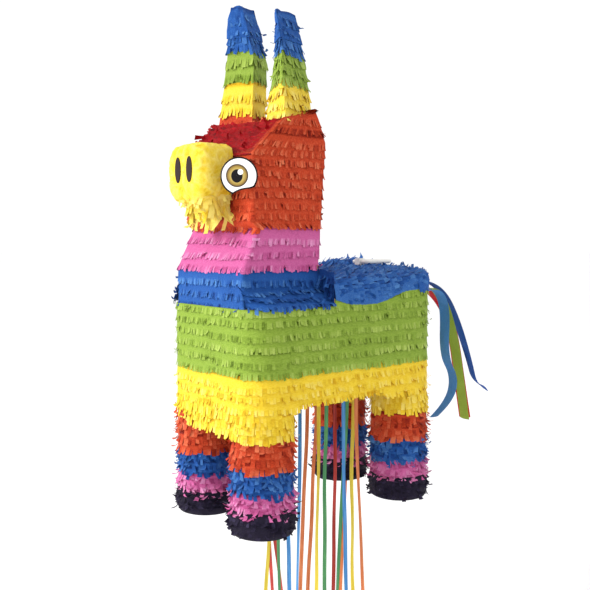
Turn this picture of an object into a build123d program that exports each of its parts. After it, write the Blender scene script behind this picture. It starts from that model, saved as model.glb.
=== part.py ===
"""Donkey pinata: a cardboard box body on four tube legs, covered in rows of cut tissue paper.

Millimetres, +Z up. The donkey faces -Y and its left side is +X. The origin is the eye of
the hanger on its back, so heights above the soles and distances behind the front legs are
turned into the row's own coordinates by up() and back().
"""
from build123d import *
import math
import os

# ---- driving dimensions ----------------------------------------------------------------
CARD = 3.0  # single-wall corrugated card
TISSUE = 3.0  # the overlapping rows of cut tissue glued on the card
GAP = 0.3  # air between pieces that move past each other

HANG_BACK = 196.0  # hanger's eye behind the front legs' axes
HANG_UP = 287.0  # hanger's eye above the soles

LEG_X = 53.5  # leg axes to each side of the middle
WHEELBASE = 212.5  # front to rear leg axes
LEG_R = 36.0  # leg radius over the tissue, and the body's corner radius
LEG_TOP = 140.0  # legs end under the belly panel
LEG_BANDS = {  # tissue bands of each leg, from and to, above the soles
    "leg_tissue_black": (1.0, 24.0),
    "leg_tissue_pink": (24.0, 47.0),
    "leg_tissue_blue": (47.0, 73.0),
    "leg_tissue_red": (73.0, 102.0),
}
SKIRT_LOW = 102.0  # yellow tissue hangs this low round each leg
BELLY_LOW = 135.0  # and this low between the legs
GREEN_LOW = 172.0  # yellow ends and green starts
SHOULDER = 243.0  # top of the box under the neck
RUMP_TOP = 257.0

NECK_HALF = 65.0  # neck and head, half their width over the tissue
NECK_BACK = 74.0
PINK_LOW = 283.0
RED_LOW = 327.0
HEAD_FRONT = -21.0
BROW = (-21.0, 406.0)  # where the forehead starts to slope back
CROWN_FRONT = (21.0, 445.0)
CROWN_BACK = (70.0, 455.0)
POLL = (84.0, 423.0)
HEAD_OUTLINE = [  # side view of neck and head over the tissue: (behind front legs, above soles)
    (-34.0, 200.0),
    (-34.0, PINK_LOW),
    (-13.0, RED_LOW),
    (HEAD_FRONT, RED_LOW + 6),
    BROW,
    CROWN_FRONT,
    CROWN_BACK,
    POLL,
    (NECK_BACK, PINK_LOW),
    (NECK_BACK, 200.0),
]

BACK_RIDGE = 280.0  # the arched back panel's top along its middle
BACK_R = 460.0  # how gently it arches
BACK_ROUND = 16.0  # and how it rounds over to its upright edges
BACK_LOW = 242.0  # low end of the upright edges, inside the side panels
BACK_HALF = 83.3  # half its width between the side panels
BACK_WIDE = 86.0  # and over the rump's card
WAVE = [  # top edge of the side panels behind the neck
    (NECK_BACK, 251.0),
    (97.0, 245.0),
    (122.0, 243.5),
    (142.0, 244.0),
    (163.0, 249.0),
    (184.0, 255.0),
    (208.0, 257.0),
    (250.0, RUMP_TOP),
]

FLAP_X = (-38.0, 14.0)  # fill opening in the back, side to side
FLAP_BACK = (100.0, 152.0)
TRAP_HALF = 26.0  # trap door opening in the belly, half its width
TRAP_BACK = (60.0, 110.0)

SNOUT_HALF = 33.0
SNOUT_FRONT = -62.5
SNOUT_UP = (354.0, 417.0)
BEARD_UP = 328.0
NOSTRIL_X, NOSTRIL_UP = 11.0, 389.0
NOSTRIL_RADII = (5.3, 13.5)

SNOUT_ROUND = 14.0  # rounding of the snout's edges over the tissue

EYE_R = 19.5
EYE_CARD = 1.2
EYE_CENTRE = (58.0, -32.5, 380.5)

EAR_SECTIONS = {  # left ear over the tissue: inner, outer and rear corner at each height
    440.0: [(12.5, 37.0), (62.5, 26.0), (44.0, 79.0)],
    510.0: [(18.5, 44.0), (52.0, 29.0), (35.0, 77.0)],
    561.0: [(32.0, 38.0), (44.0, 29.0), (38.0, 60.0)],
}
EAR_FOOT = 440.0
EAR_STRETCH = {"left": 1.0, "right": 1.17}  # the right ear is folded taller
EAR_CORE_SCALE = 0.8
EAR_CORE_TOP = 545.0
EAR_BANDS = {
    "ear_tissue_yellow": (440.0, 484.0),
    "ear_tissue_green": (484.0, 515.0),
    "ear_tissue_blue": (515.0, 562.0),
}

BAR_R, BAR_UP = 5.0, 236.0
STEM_R = 3.5
LUG = (8.0, 9.0, 8.0)
PIN_R = 2.6  # hanger loop's rod
LOOP_HALF, LOOP_LENGTH = 12.0, 48.0

RIBBON = 4.8  # width of the curling ribbon, and its tube's diameter
RIBBON_RUN_SHARE = 0.45

RIBBONS = {  # each pull ribbon's route: (x, behind front legs, above soles), belly to free end
    "release_ribbon": [
        (0, 63, 137.2), (0, 63, 82), (1, 64, 22), (1, 63, -42), (0, 66, -104), (0, 68, -150),
    ],
    "ribbon_yellow_front": [
        (15, 50, 140), (15, 50, 84), (13, 43, 24), (12, 41, -40), (10, 36, -102), (10, 34, -146),
    ],
    "ribbon_red_front": [
        (-13, 52, 140), (-13, 52, 82), (-12, 58, 20), (-13, 60, -44), (-12, 65, -108),
        (-12, 67, -156),
    ],
    "ribbon_blue_front": [
        (28, 50, 140), (28, 50, 86), (26, 55, 26), (25, 60, -38), (22, 63, -100), (22, 65, -144),
    ],
    "ribbon_orange_middle": [
        (-12, 120, 140), (-12, 120, 80), (-11, 114, 18), (-12, 112, -46), (-10, 107, -108),
        (-11, 106, -158),
    ],
    "ribbon_orange_far": [
        (-24, 146, 140), (-24, 146, 84), (-25, 140, 24), (-23, 137, -40), (-22, 130, -104),
        (-22, 128, -152),
    ],
    "ribbon_yellow_middle": [
        (9, 120, 140), (9, 120, 82), (11, 118, 20), (12, 114, -44), (13, 114, -106),
        (13, 112, -148),
    ],
    "ribbon_green_middle": [
        (3, 138, 140), (3, 138, 80), (1, 136, 18), (2, 137, -46), (4, 134, -108), (4, 135, -160),
    ],
    "ribbon_blue_near": [
        (28, 143, 140), (28, 143, 84), (30, 142, 22), (29, 146, -42), (30, 146, -104),
        (30, 149, -150),
    ],
    "ribbon_yellow_rear": [
        (9, 178, 140), (9, 178, 82), (7, 176, 20), (8, 179, -44), (7, 178, -106), (8, 181, -154),
    ],
    "ribbon_orange_rear": [
        (24, 168, 140), (24, 168, 84), (26, 170, 22), (25, 176, -42), (26, 178, -104),
        (25, 182, -148),
    ],
}

TAIL_ROOT = (250.6, 250.0)  # top of the streamers, just clear of the rump
TAIL_TAB_X = (-8.0, 64.0)
TAIL_TAB_THICK, TAIL_TAB_TALL = 1.5, 12.0
STREAMER = 17.0  # width of the crepe tail streamers
STREAMER_THICK = 1.2
STREAMER_BEND = 9.0
STREAMERS = {  # side position, then the streamer's side view from its root down
    "tail_streamer_red": (4.0, [
        TAIL_ROOT, (290, 258), (340, 238), (373, 195), (392, 110), (404, 60),
    ]),
    "tail_streamer_navy": (20.0 + 1.5, [
        TAIL_ROOT, (285, 264), (329, 249), (362, 204), (391, 143), (402, 112), (426, 102),
    ]),
    "tail_streamer_green": (36.0 + 3.0, [
        TAIL_ROOT, (280, 256), (308, 243), (334, 187), (350, 117), (360, 70),
    ]),
    "tail_streamer_blue": (52.0 + 4.5, [
        TAIL_ROOT, (275, 256), (296, 230), (293, 165), (316, 134), (306, 103), (275, 87),
    ]),
}


def up(height):
    """Z of a height above the soles."""
    return height - HANG_UP


def back(distance):
    """Y of a distance behind the front legs' axes."""
    return distance - HANG_BACK


def side_view(points):
    """Side-view points as (Y, Z)."""
    return [(back(d), up(h)) for d, h in points]


def save(builder, name):
    """Label one finished piece and write it."""
    builder.part.label = name
    export_step(builder.part, f"parts/{name}.step")
    print(f"{name}: {builder.part.volume / 1000:.1f} cm3")


def slab(x, d, h):
    """A box from its side, back and height ranges, to cut or keep a region with."""
    size = [high - low for low, high in (x, d, h)]
    centre = (sum(x) / 2, back(sum(d) / 2), up(sum(h) / 2))
    return Pos(*centre) * Box(*size, mode=Mode.PRIVATE)


def body_outline(inset):
    """Plan view of the box body, inset from its tissue surface."""
    radius = LEG_R - inset
    with BuildSketch() as outline:
        with Locations((0, back(WHEELBASE / 2))):
            RectangleRounded(2 * (LEG_X + radius), WHEELBASE + 2 * radius, radius)
    return outline.sketch


def body_profile():
    """Side view of the box body, with the wavy top edge of its side panels."""
    with BuildSketch(Plane.YZ) as profile:
        with BuildLine():
            edge = Spline(side_view(WAVE))
            Polyline(
                edge @ 1,
                (back(WAVE[-1][0]), up(0)),
                (back(-LEG_R), up(0)),
                (back(-LEG_R), up(SHOULDER)),
                (back(NECK_BACK), up(SHOULDER)),
                edge @ 0,
            )
        make_face()
    return profile.sketch


def head_profile(inset):
    """Side view of neck and head, inset from the tissue surface."""
    with BuildSketch(Plane.YZ) as profile:
        with BuildLine():
            Polyline(side_view(HEAD_OUTLINE), close=True)
        make_face()
        if inset:
            offset(amount=-inset, kind=Kind.INTERSECTION, mode=Mode.REPLACE)
    return profile.sketch


def under_edge():
    """The space under the wavy top edge of the side panels."""
    profile = body_profile()
    with BuildPart() as space:
        extrude(profile, amount=200, both=True)
    return space.part


def under_arch(layer, half=BACK_HALF):
    """The space under the arched back's card, layer 0, or under its tissue, layer 1."""
    with BuildPart() as space:
        with BuildSketch(Plane.XZ.offset(-back(-50))):
            with Locations((0, up(BACK_RIDGE - BACK_R))):
                Circle(BACK_R - BACK_ROUND)
            with Locations((0, up(BACK_RIDGE - 100))):
                Rectangle(2 * (half - BACK_ROUND), 200, mode=Mode.INTERSECT)
            offset(amount=BACK_ROUND + layer * TISSUE, mode=Mode.REPLACE)
        extrude(amount=-350)
    return space.part


def body_wall(outer, inner, low, high, region):
    """A region of the box body's wall between two insets and two heights."""
    shell = body_outline(outer)
    hollow = body_outline(inner)
    with BuildPart() as wall:
        extrude(Pos(0, 0, up(low)) * shell, amount=high - low)
        extrude(Pos(0, 0, up(low)) * hollow, amount=high - low, mode=Mode.SUBTRACT)
        add(slab(*region, (low, high)), mode=Mode.INTERSECT)
    return wall


# ---- card box ----------------------------------------------------------------------------
WIDE = (-100, 100)
LONG = (-60, 300)
OVER_ALL = 300.0  # above the back and below the head


def make_box():
    """Side, chest, rump, belly and shoulder panels."""
    inside = 2 * TISSUE
    edge = under_edge()
    for name, x in (("side_panel_left", (60, 100)), ("side_panel_right", (-100, -60))):
        wall = body_wall(TISSUE, inside, LEG_TOP, OVER_ALL, (x, (0, WHEELBASE)))
        with BuildPart() as panel:
            add(wall.part)
            add(edge, mode=Mode.INTERSECT)
            add(slab(x, (-50, NECK_BACK), (SHOULDER - CARD, OVER_ALL)), mode=Mode.SUBTRACT)
        save(panel, name)
    save(body_wall(TISSUE, inside, LEG_TOP, SHOULDER - CARD, (WIDE, (-60, 0))), "chest_panel")

    end = body_wall(TISSUE, inside, LEG_TOP, OVER_ALL, (WIDE, (WHEELBASE, 300)))
    with BuildPart() as low_end:
        add(end.part)
        add(edge, mode=Mode.INTERSECT)
    with BuildPart() as rump:
        add(end.part)
        add(under_arch(0, BACK_WIDE), mode=Mode.INTERSECT)
        add(low_end.part)
    save(rump, "rump_panel")

    plan = body_outline(inside)
    door = [(-TRAP_HALF, TRAP_HALF), TRAP_BACK, (LEG_TOP - 1, LEG_TOP + CARD + 1)]
    with BuildPart() as belly:
        extrude(Pos(0, 0, up(LEG_TOP)) * plan, amount=CARD)
        add(slab(*door), mode=Mode.SUBTRACT)
    save(belly, "belly_panel")

    top = body_outline(TISSUE)
    neck_hole = (-NECK_HALF + 12, NECK_HALF - 12), (-20, NECK_BACK - 15), (230, 250)
    with BuildPart() as shoulder:
        extrude(Pos(0, 0, up(SHOULDER - CARD)) * top, amount=CARD)
        add(slab((-100, 100), (-60, NECK_BACK), (200, 300)), mode=Mode.INTERSECT)
        add(slab(*neck_hole), mode=Mode.SUBTRACT)
    save(shoulder, "shoulder_panel")


def back_arch(layer, x, d):
    """Part of the arched back: the card is layer 0 and the tissue on it is layer 1."""
    with BuildPart() as room:
        extrude(Pos(0, 0, up(BACK_LOW)) * body_outline(2 * TISSUE + GAP), amount=80)
        if layer == 1:
            half = BACK_HALF + TISSUE
            add(slab((-half, half), (NECK_BACK, WHEELBASE), (BACK_LOW, OVER_ALL)))
            add(under_edge(), mode=Mode.SUBTRACT)
    with BuildPart() as arch:
        add(under_arch(layer, (BACK_HALF, BACK_WIDE)[layer]))
        add(under_arch(layer - 1), mode=Mode.SUBTRACT)
        add(slab(x, d, (BACK_LOW, OVER_ALL)), mode=Mode.INTERSECT)
        add(room.part, mode=Mode.INTERSECT)
    return arch


def make_back():
    """Back panel and its tissue, with the fill opening, its flap and the hanger's hole."""
    whole_d = (NECK_BACK + GAP, 250)
    opening = slab(FLAP_X, FLAP_BACK, (200, OVER_ALL))
    rear = body_wall(0, TISSUE, GREEN_LOW, OVER_ALL, (WIDE, (WHEELBASE, 300)))
    edge = under_edge()
    rear_plan = body_outline(TISSUE)
    with BuildPart() as gable:
        extrude(Pos(0, 0, up(GREEN_LOW)) * rear_plan, amount=OVER_ALL - GREEN_LOW)
        add(slab(WIDE, (WHEELBASE, 300), (GREEN_LOW, OVER_ALL)), mode=Mode.INTERSECT)
        add(under_arch(0, BACK_WIDE), mode=Mode.SUBTRACT)
        add(rear.part)
        add(under_arch(1, BACK_WIDE), mode=Mode.INTERSECT)
        add(edge, mode=Mode.SUBTRACT)
    lid_x = (FLAP_X[0] + 2 * GAP, FLAP_X[1] - 2 * GAP)
    lid_d = (FLAP_BACK[0] + 2 * GAP, FLAP_BACK[1] - 2 * GAP)
    front_d = (NECK_BACK + GAP, NECK_BACK + GAP + CARD)
    with BuildPart() as front_end:
        add(under_arch(0))
        add(slab(WIDE, front_d, (SHOULDER - CARD, OVER_ALL)), mode=Mode.INTERSECT)
        extrude(Pos(0, 0, up(200)) * body_outline(2 * TISSUE + GAP), amount=100, mode=Mode.INTERSECT)
    ends = (front_end.part, gable.part)
    for layer, name, lid in (
        (0, "back_panel", "fill_flap"),
        (1, "back_tissue_blue", "fill_flap_tissue"),
    ):
        arch = back_arch(layer, WIDE, whole_d)
        with BuildPart() as panel:
            add(arch.part)
            add(opening, mode=Mode.SUBTRACT)
            Cylinder(STEM_R + 0.5, 200, mode=Mode.SUBTRACT)
            add(ends[layer])
        save(panel, name)
        save(back_arch(layer, lid_x, lid_d), lid)


def make_trap():
    """Trap door in the belly, hinged along its rear edge."""
    x = (-TRAP_HALF + 2 * GAP, TRAP_HALF - 2 * GAP)
    d = (TRAP_BACK[0] + 2 * GAP, TRAP_BACK[1] - 2 * GAP)
    with BuildPart() as door:
        add(slab(x, d, (LEG_TOP, LEG_TOP + CARD)))
    save(door, "trap_door")


# ---- legs --------------------------------------------------------------------------------
LEG_PLACES = {
    "front_left": (LEG_X, 0.0),
    "front_right": (-LEG_X, 0.0),
    "rear_left": (LEG_X, WHEELBASE),
    "rear_right": (-LEG_X, WHEELBASE),
}


def rings(outer, inner, low, high, places):
    """Tube rings, or discs where inner is zero, on the axes of some legs."""
    spots = [(x, back(d)) for x, d in places]
    with BuildPart() as ring:
        with BuildSketch(Plane.XY.offset(up(low))):
            with Locations(*spots):
                Circle(outer)
                if inner:
                    Circle(inner, mode=Mode.SUBTRACT)
        extrude(amount=high - low)
    return ring


def make_legs():
    """Leg tubes, their sole discs and their tissue bands."""
    tube_r = LEG_R - TISSUE
    for corner, place in LEG_PLACES.items():
        tube = rings(tube_r, tube_r - CARD, 0, LEG_TOP, [place])
        save(tube, f"leg_tube_{corner}")
    every = list(LEG_PLACES.values())
    save(rings(tube_r - CARD, 0, 0, CARD, every), "sole_discs")
    for name, (low, high) in LEG_BANDS.items():
        save(rings(LEG_R, tube_r, low, high, every), name)


# ---- neck, head and snout ------------------------------------------------------------------
def make_head():
    """Card sides and folded strips of the neck and head."""
    outer, inner = head_profile(TISSUE), head_profile(TISSUE + CARD)
    side = NECK_HALF - TISSUE
    for name, x in (("head_side_left", (side - CARD, side)), ("head_side_right", (-side, CARD - side))):
        with BuildPart() as panel:
            extrude(outer, amount=side, both=True)
            add(slab(x, (-60, 120), (SHOULDER, 500)), mode=Mode.INTERSECT)
        save(panel, name)

    split = CROWN_BACK[0] - 3
    between = (CARD - side, side - CARD)
    regions = {
        "throat_panel": (between, (-60, 20), (SHOULDER, BROW[1] - 3)),
        "forehead_panel": (between, (-60, split), (BROW[1] - 3, 500)),
        "nape_panel": (between, (split, 120), (SHOULDER, 500)),
    }
    for name, region in regions.items():
        with BuildPart() as strip:
            extrude(outer, amount=side, both=True)
            extrude(inner, amount=side, both=True, mode=Mode.SUBTRACT)
            add(slab(*region), mode=Mode.INTERSECT)
        save(strip, name)


def head_skin(low, high):
    """Tissue round the neck and head between two heights."""
    outer, inner = head_profile(0), head_profile(TISSUE)
    with BuildPart() as skin:
        extrude(outer, amount=NECK_HALF, both=True)
        extrude(inner, amount=NECK_HALF - TISSUE, both=True, mode=Mode.SUBTRACT)
        add(slab((-100, 100), (-60, 120), (low, high)), mode=Mode.INTERSECT)
    return skin


def make_head_tissue():
    """Blue, pink and red bands, and the crimson forehead."""
    save(head_skin(SHOULDER, PINK_LOW), "neck_tissue_blue")
    save(head_skin(PINK_LOW, RED_LOW), "neck_tissue_pink")
    side = NECK_HALF - TISSUE
    forehead = slab((-side, side), (-60, CROWN_FRONT[0]), (BROW[1], 500))
    with BuildPart() as red:
        add(head_skin(RED_LOW, 500).part)
        add(forehead, mode=Mode.SUBTRACT)
    save(red, "head_tissue_red")
    with BuildPart() as crimson:
        add(head_skin(RED_LOW, 500).part)
        add(forehead, mode=Mode.INTERSECT)
    save(crimson, "forehead_tissue_crimson")


def snout_block(inset):
    """The rounded snout block, inset from its tissue surface."""
    low, high = SNOUT_UP
    size = (
        2 * (SNOUT_HALF - inset),
        HEAD_FRONT - SNOUT_FRONT - inset,
        high - low - 2 * inset,
    )
    middle = (SNOUT_FRONT + inset + HEAD_FRONT) / 2
    with BuildPart(Plane.XY.offset(up((low + high) / 2))) as block:
        with Locations((0, back(middle))):
            Box(*size)
        rear = block.faces().sort_by(Axis.Y)[-1]
        fillet([e for e in block.edges() if e not in rear.edges()], radius=SNOUT_ROUND - inset / 2)
    return block


def make_snout():
    """Card snout, open at the head, with its tissue, beard and nostrils."""
    outer, middle, inner = (snout_block(n) for n in (0, TISSUE, TISSUE + CARD))
    with BuildPart() as shell:
        add(middle.part)
        add(inner.part, mode=Mode.SUBTRACT)
    save(shell, "snout_shell")
    beard = slab((8 - SNOUT_HALF, SNOUT_HALF - 8), (-50, HEAD_FRONT), (BEARD_UP, SNOUT_UP[0] + 3))
    with BuildPart() as tissue:
        add(outer.part)
        add(beard)
        add(middle.part, mode=Mode.SUBTRACT)
    save(tissue, "snout_tissue_yellow")
    with BuildPart() as nostrils:
        with BuildSketch(Plane.XZ.offset(-back(SNOUT_FRONT))):
            with Locations((-NOSTRIL_X, up(NOSTRIL_UP)), (NOSTRIL_X, up(NOSTRIL_UP))):
                Ellipse(*NOSTRIL_RADII)
        extrude(amount=1.0)
    save(nostrils, "nostrils")


def make_eyes():
    """Printed card eyes across the corners between the snout and the cheeks."""
    x, d, h = EYE_CENTRE
    for name, sign in (("eye_left", 1), ("eye_right", -1)):
        face = Plane(
            origin=(sign * x, back(d), up(h)),
            x_dir=(1, sign, 0),
            z_dir=(sign, -1, 0),
        )
        with BuildPart(face) as eye:
            Cylinder(EYE_R, EYE_CARD)
        save(eye, name)


# ---- ears --------------------------------------------------------------------------------
def ear_height(height, stretch):
    """A height on the left ear, moved up as an ear folded taller has it."""
    return EAR_FOOT + (height - EAR_FOOT) * stretch


def ear_solid(scale, top, stretch):
    """An ear on the left side as a three-sided pyramid, scaled about its sections' middles."""
    with BuildPart() as ear:
        for height, corners in EAR_SECTIONS.items():
            middle = [sum(c[n] for c in corners) / 3 for n in (0, 1)]
            points = [
                (middle[0] + scale * (x - middle[0]), back(middle[1] + scale * (d - middle[1])))
                for x, d in corners
            ]
            with BuildSketch(Plane.XY.offset(up(ear_height(height, stretch)))):
                with BuildLine():
                    Polyline(*points, close=True)
                make_face()
        loft(ruled=True)
        add(slab((0, 100), (-50, 150), (400, ear_height(top, stretch))), mode=Mode.INTERSECT)
    return ear


def placed(part, side):
    """A left side part where it is, or mirrored to the right side."""
    return part if side == "left" else part.mirror(Plane.YZ)


def make_ears():
    """Folded card ears and their tissue bands, standing on the crown."""
    skull = head_profile(0)
    with BuildPart() as head:
        extrude(skull, amount=NECK_HALF, both=True)
    cores = {}
    for side, stretch in EAR_STRETCH.items():
        core = ear_solid(EAR_CORE_SCALE, EAR_CORE_TOP, stretch)
        cores[side] = core.part
        with BuildPart() as ear:
            add(core.part)
            add(head.part, mode=Mode.SUBTRACT)
        with BuildPart() as moved:
            add(placed(ear.part, side))
        save(moved, f"ear_core_{side}")
    for name, (low, high) in EAR_BANDS.items():
        pair = []
        for side, stretch in EAR_STRETCH.items():
            whole = ear_solid(1.0, 600, stretch)
            heights = (ear_height(low, stretch), ear_height(high, stretch))
            with BuildPart() as band:
                add(whole.part)
                add(cores[side], mode=Mode.SUBTRACT)
                add(head.part, mode=Mode.SUBTRACT)
                add(slab((0, 100), (-50, 150), heights), mode=Mode.INTERSECT)
            pair.append(placed(band.part, side))
        with BuildPart() as both:
            add(pair)
        save(both, name)


# ---- body tissue -------------------------------------------------------------------------
def make_body_tissue():
    """Yellow skirt with its leg sleeves, and the green band up to the side panels' edge."""
    sleeves = rings(LEG_R, LEG_R - TISSUE, SKIRT_LOW, LEG_TOP, list(LEG_PLACES.values()))
    skirt = body_wall(0, TISSUE, BELLY_LOW, GREEN_LOW, (WIDE, LONG))
    with BuildPart() as yellow:
        add(skirt.part)
        add(sleeves.part)
    save(yellow, "body_tissue_yellow")
    sides = body_wall(0, TISSUE, GREEN_LOW, OVER_ALL, (WIDE, LONG))
    edge = under_edge()
    with BuildPart() as green:
        add(sides.part)
        add(edge, mode=Mode.INTERSECT)
    save(green, "body_tissue_green")


# ---- hanger ------------------------------------------------------------------------------
def make_hanger():
    """Crossbar inside the body, the anchor through the back, and the loop that lifts up."""
    inner_half = LEG_X + LEG_R - 2 * TISSUE
    bar_z = up(BAR_UP)
    with BuildPart() as bar:
        with BuildSketch(Plane.YZ):
            with Locations((0, bar_z)):
                Circle(BAR_R)
        extrude(amount=inner_half, both=True)
    save(bar, "hanger_crossbar")

    lug_low = BACK_RIDGE + TISSUE + GAP - HANG_UP
    foot = bar_z + BAR_R - 1
    with BuildPart() as anchor:
        with BuildSketch(Plane.XY.offset(foot)):
            Circle(STEM_R)
        extrude(amount=lug_low - foot)
        with Locations((0, 0, lug_low)):
            Box(*LUG, align=(Align.CENTER, Align.CENTER, Align.MIN))
        with BuildSketch(Plane.YZ):
            Circle(PIN_R + 0.08)
        extrude(amount=LUG[0], both=True, mode=Mode.SUBTRACT)
        add(bar.part, mode=Mode.SUBTRACT)
    save(anchor, "hanger_anchor")

    corner = 5.0
    with BuildPart() as loop:
        with BuildLine() as path:
            rod = Line((corner - LOOP_HALF, 0), (LOOP_HALF - corner, 0))
            near = RadiusArc(rod @ 1, (LOOP_HALF, corner), -corner)
            arm = Line(near @ 1, (LOOP_HALF, LOOP_LENGTH - LOOP_HALF))
            end = ThreePointArc(
                arm @ 1,
                (0, LOOP_LENGTH),
                (-LOOP_HALF, LOOP_LENGTH - LOOP_HALF),
            )
            far_arm = Line(end @ 1, (-LOOP_HALF, corner))
            RadiusArc(far_arm @ 1, rod @ 0, -corner)
        with BuildSketch(Plane(origin=rod @ 0, z_dir=(1, 0, 0))):
            Circle(PIN_R)
        sweep(path=path.wires()[0])
    save(loop, "hang_loop")


# ---- tail --------------------------------------------------------------------------------
def make_tail():
    """Tail tab at the rump's top and the crepe streamers stapled to it."""
    root_d, root_h = TAIL_ROOT
    face = root_d - STREAMER_THICK / 2
    with BuildPart() as tab:
        add(slab(TAIL_TAB_X, (face - TAIL_TAB_THICK, face), (root_h - TAIL_TAB_TALL, root_h)))
    save(tab, "tail_tab")
    for name, (x, points) in STREAMERS.items():
        with BuildPart() as streamer:
            with BuildSketch(Plane.YZ.offset(x - STREAMER / 2)):
                with BuildLine():
                    hang = FilletPolyline(*side_view(points), radius=STREAMER_BEND)
                    offset(hang, amount=STREAMER_THICK / 2, mode=Mode.REPLACE)
                make_face()
            extrude(amount=STREAMER)
        save(streamer, name)


# ---- pull ribbons ------------------------------------------------------------------------
def bend_radii(points):
    """As large an arc at each corner of a route as its two runs allow."""
    spots = [Vector(*p) for p in points]
    radii = []
    for before, at, after in zip(spots, spots[1:], spots[2:]):
        run_in, run_out = at - before, after - at
        turn = math.radians(run_in.get_angle(run_out))
        shorter = min(run_in.length, run_out.length)
        radii.append(RIBBON_RUN_SHARE * shorter / math.tan(turn / 2))
    return radii


def make_ribbons():
    """Pull ribbons that hang from the belly, as plain tubes."""
    for name, route in RIBBONS.items():
        points = [(x, back(d), up(h)) for x, d, h in route]
        radii = bend_radii(points)
        with BuildPart() as ribbon:
            with BuildLine() as path:
                line = FilletPolyline(*points, radius=radii)
            with BuildSketch(Plane(origin=line @ 0, z_dir=line % 0)):
                Circle(RIBBON / 2)
            sweep(path=path.wires()[0])
        ideal = math.pi * RIBBON**2 / 4 * line.length
        print(f"  {name}: {line.length:.0f} mm, radii {min(radii):.0f} to {max(radii):.0f},",
              f"volume {ribbon.part.volume / ideal:.3f} of section times length")
        save(ribbon, name)


os.makedirs("parts", exist_ok=True)
make_box()
make_back()
make_trap()
make_legs()
make_head()
make_head_tissue()
make_snout()
make_eyes()
make_ears()
make_body_tissue()
make_hanger()
make_tail()
make_ribbons()
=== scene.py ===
"""Looks of the donkey pinata: rows of cut tissue paper, crepe streamers, ribbons and printed eyes.

Shapes are worked out in the donkey's own millimetres, (x, behind the front legs, above the
soles), and turned into the row frame by to_row(). Every random draw has its own fixed seed.
"""

import math

import bpy
import numpy as np
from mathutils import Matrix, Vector, noise


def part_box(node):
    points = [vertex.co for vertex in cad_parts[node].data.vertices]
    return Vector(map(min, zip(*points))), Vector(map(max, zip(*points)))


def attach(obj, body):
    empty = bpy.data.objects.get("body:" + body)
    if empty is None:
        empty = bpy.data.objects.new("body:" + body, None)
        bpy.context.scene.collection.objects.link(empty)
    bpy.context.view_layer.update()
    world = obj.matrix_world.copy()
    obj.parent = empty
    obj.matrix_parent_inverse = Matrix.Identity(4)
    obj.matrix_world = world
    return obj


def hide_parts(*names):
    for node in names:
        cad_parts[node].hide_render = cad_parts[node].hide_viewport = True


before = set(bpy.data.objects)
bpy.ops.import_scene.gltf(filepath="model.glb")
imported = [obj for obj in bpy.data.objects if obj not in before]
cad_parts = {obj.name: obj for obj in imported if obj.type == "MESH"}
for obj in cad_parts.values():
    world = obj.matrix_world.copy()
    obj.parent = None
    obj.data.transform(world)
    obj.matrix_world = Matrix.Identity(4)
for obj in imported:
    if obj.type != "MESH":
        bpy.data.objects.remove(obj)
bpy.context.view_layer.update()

# ---- the donkey's own coordinates
MM = 0.001
SOLE_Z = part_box("sole_discs")[0].z
LEG_LOW, LEG_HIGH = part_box("leg_tube_front_left")
LEG_Y = (LEG_LOW.y + LEG_HIGH.y) / 2


def to_row(points):
    """(x, behind front legs, above soles) in millimetres as row frame metres."""
    spots = np.array(points, float).reshape(-1, 3) * MM
    spots[:, 1] += LEG_Y
    spots[:, 2] += SOLE_Z
    return spots


def unit(vectors):
    """The same vectors at length one."""
    return vectors / np.maximum(np.linalg.norm(vectors, axis=-1, keepdims=True), 1e-9)


def run(points):
    """How far along a line each of its points is."""
    steps = np.linalg.norm(np.diff(points, axis=0), axis=1)
    return np.concatenate([[0], np.cumsum(steps)])


def tilt(a, b):
    """Unit vectors along a side view's line and out of its upper side."""
    along = unit(np.subtract(b, a))
    return along, np.array([-along[1], along[0]])


# ---- mesh pieces
def quads(rows, columns):
    """The faces of a grid of points."""
    index = np.arange(rows * columns).reshape(rows, columns)
    corners = [index[:-1, :-1], index[:-1, 1:], index[1:, 1:], index[1:, :-1]]
    return np.stack(corners, -1).reshape(-1, 4)


def mesh_piece(name, points, faces, tint=None):
    """A smooth mesh object, in metres, with a tint at each point: its paper's tone, with painted shade
    and light on the tissue.
    """
    mesh = bpy.data.meshes.new(name)
    mesh.from_pydata(points.tolist(), [], faces.tolist())
    mesh.polygons.foreach_set("use_smooth", np.ones(len(faces), bool))
    if tint is not None:
        values = mesh.attributes.new("tint", "FLOAT", "POINT").data
        values.foreach_set("value", np.broadcast_to(tint, len(points)).astype(np.float32))
    mesh.update()
    piece = bpy.data.objects.new(name, mesh)
    bpy.context.scene.collection.objects.link(piece)
    return piece


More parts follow.
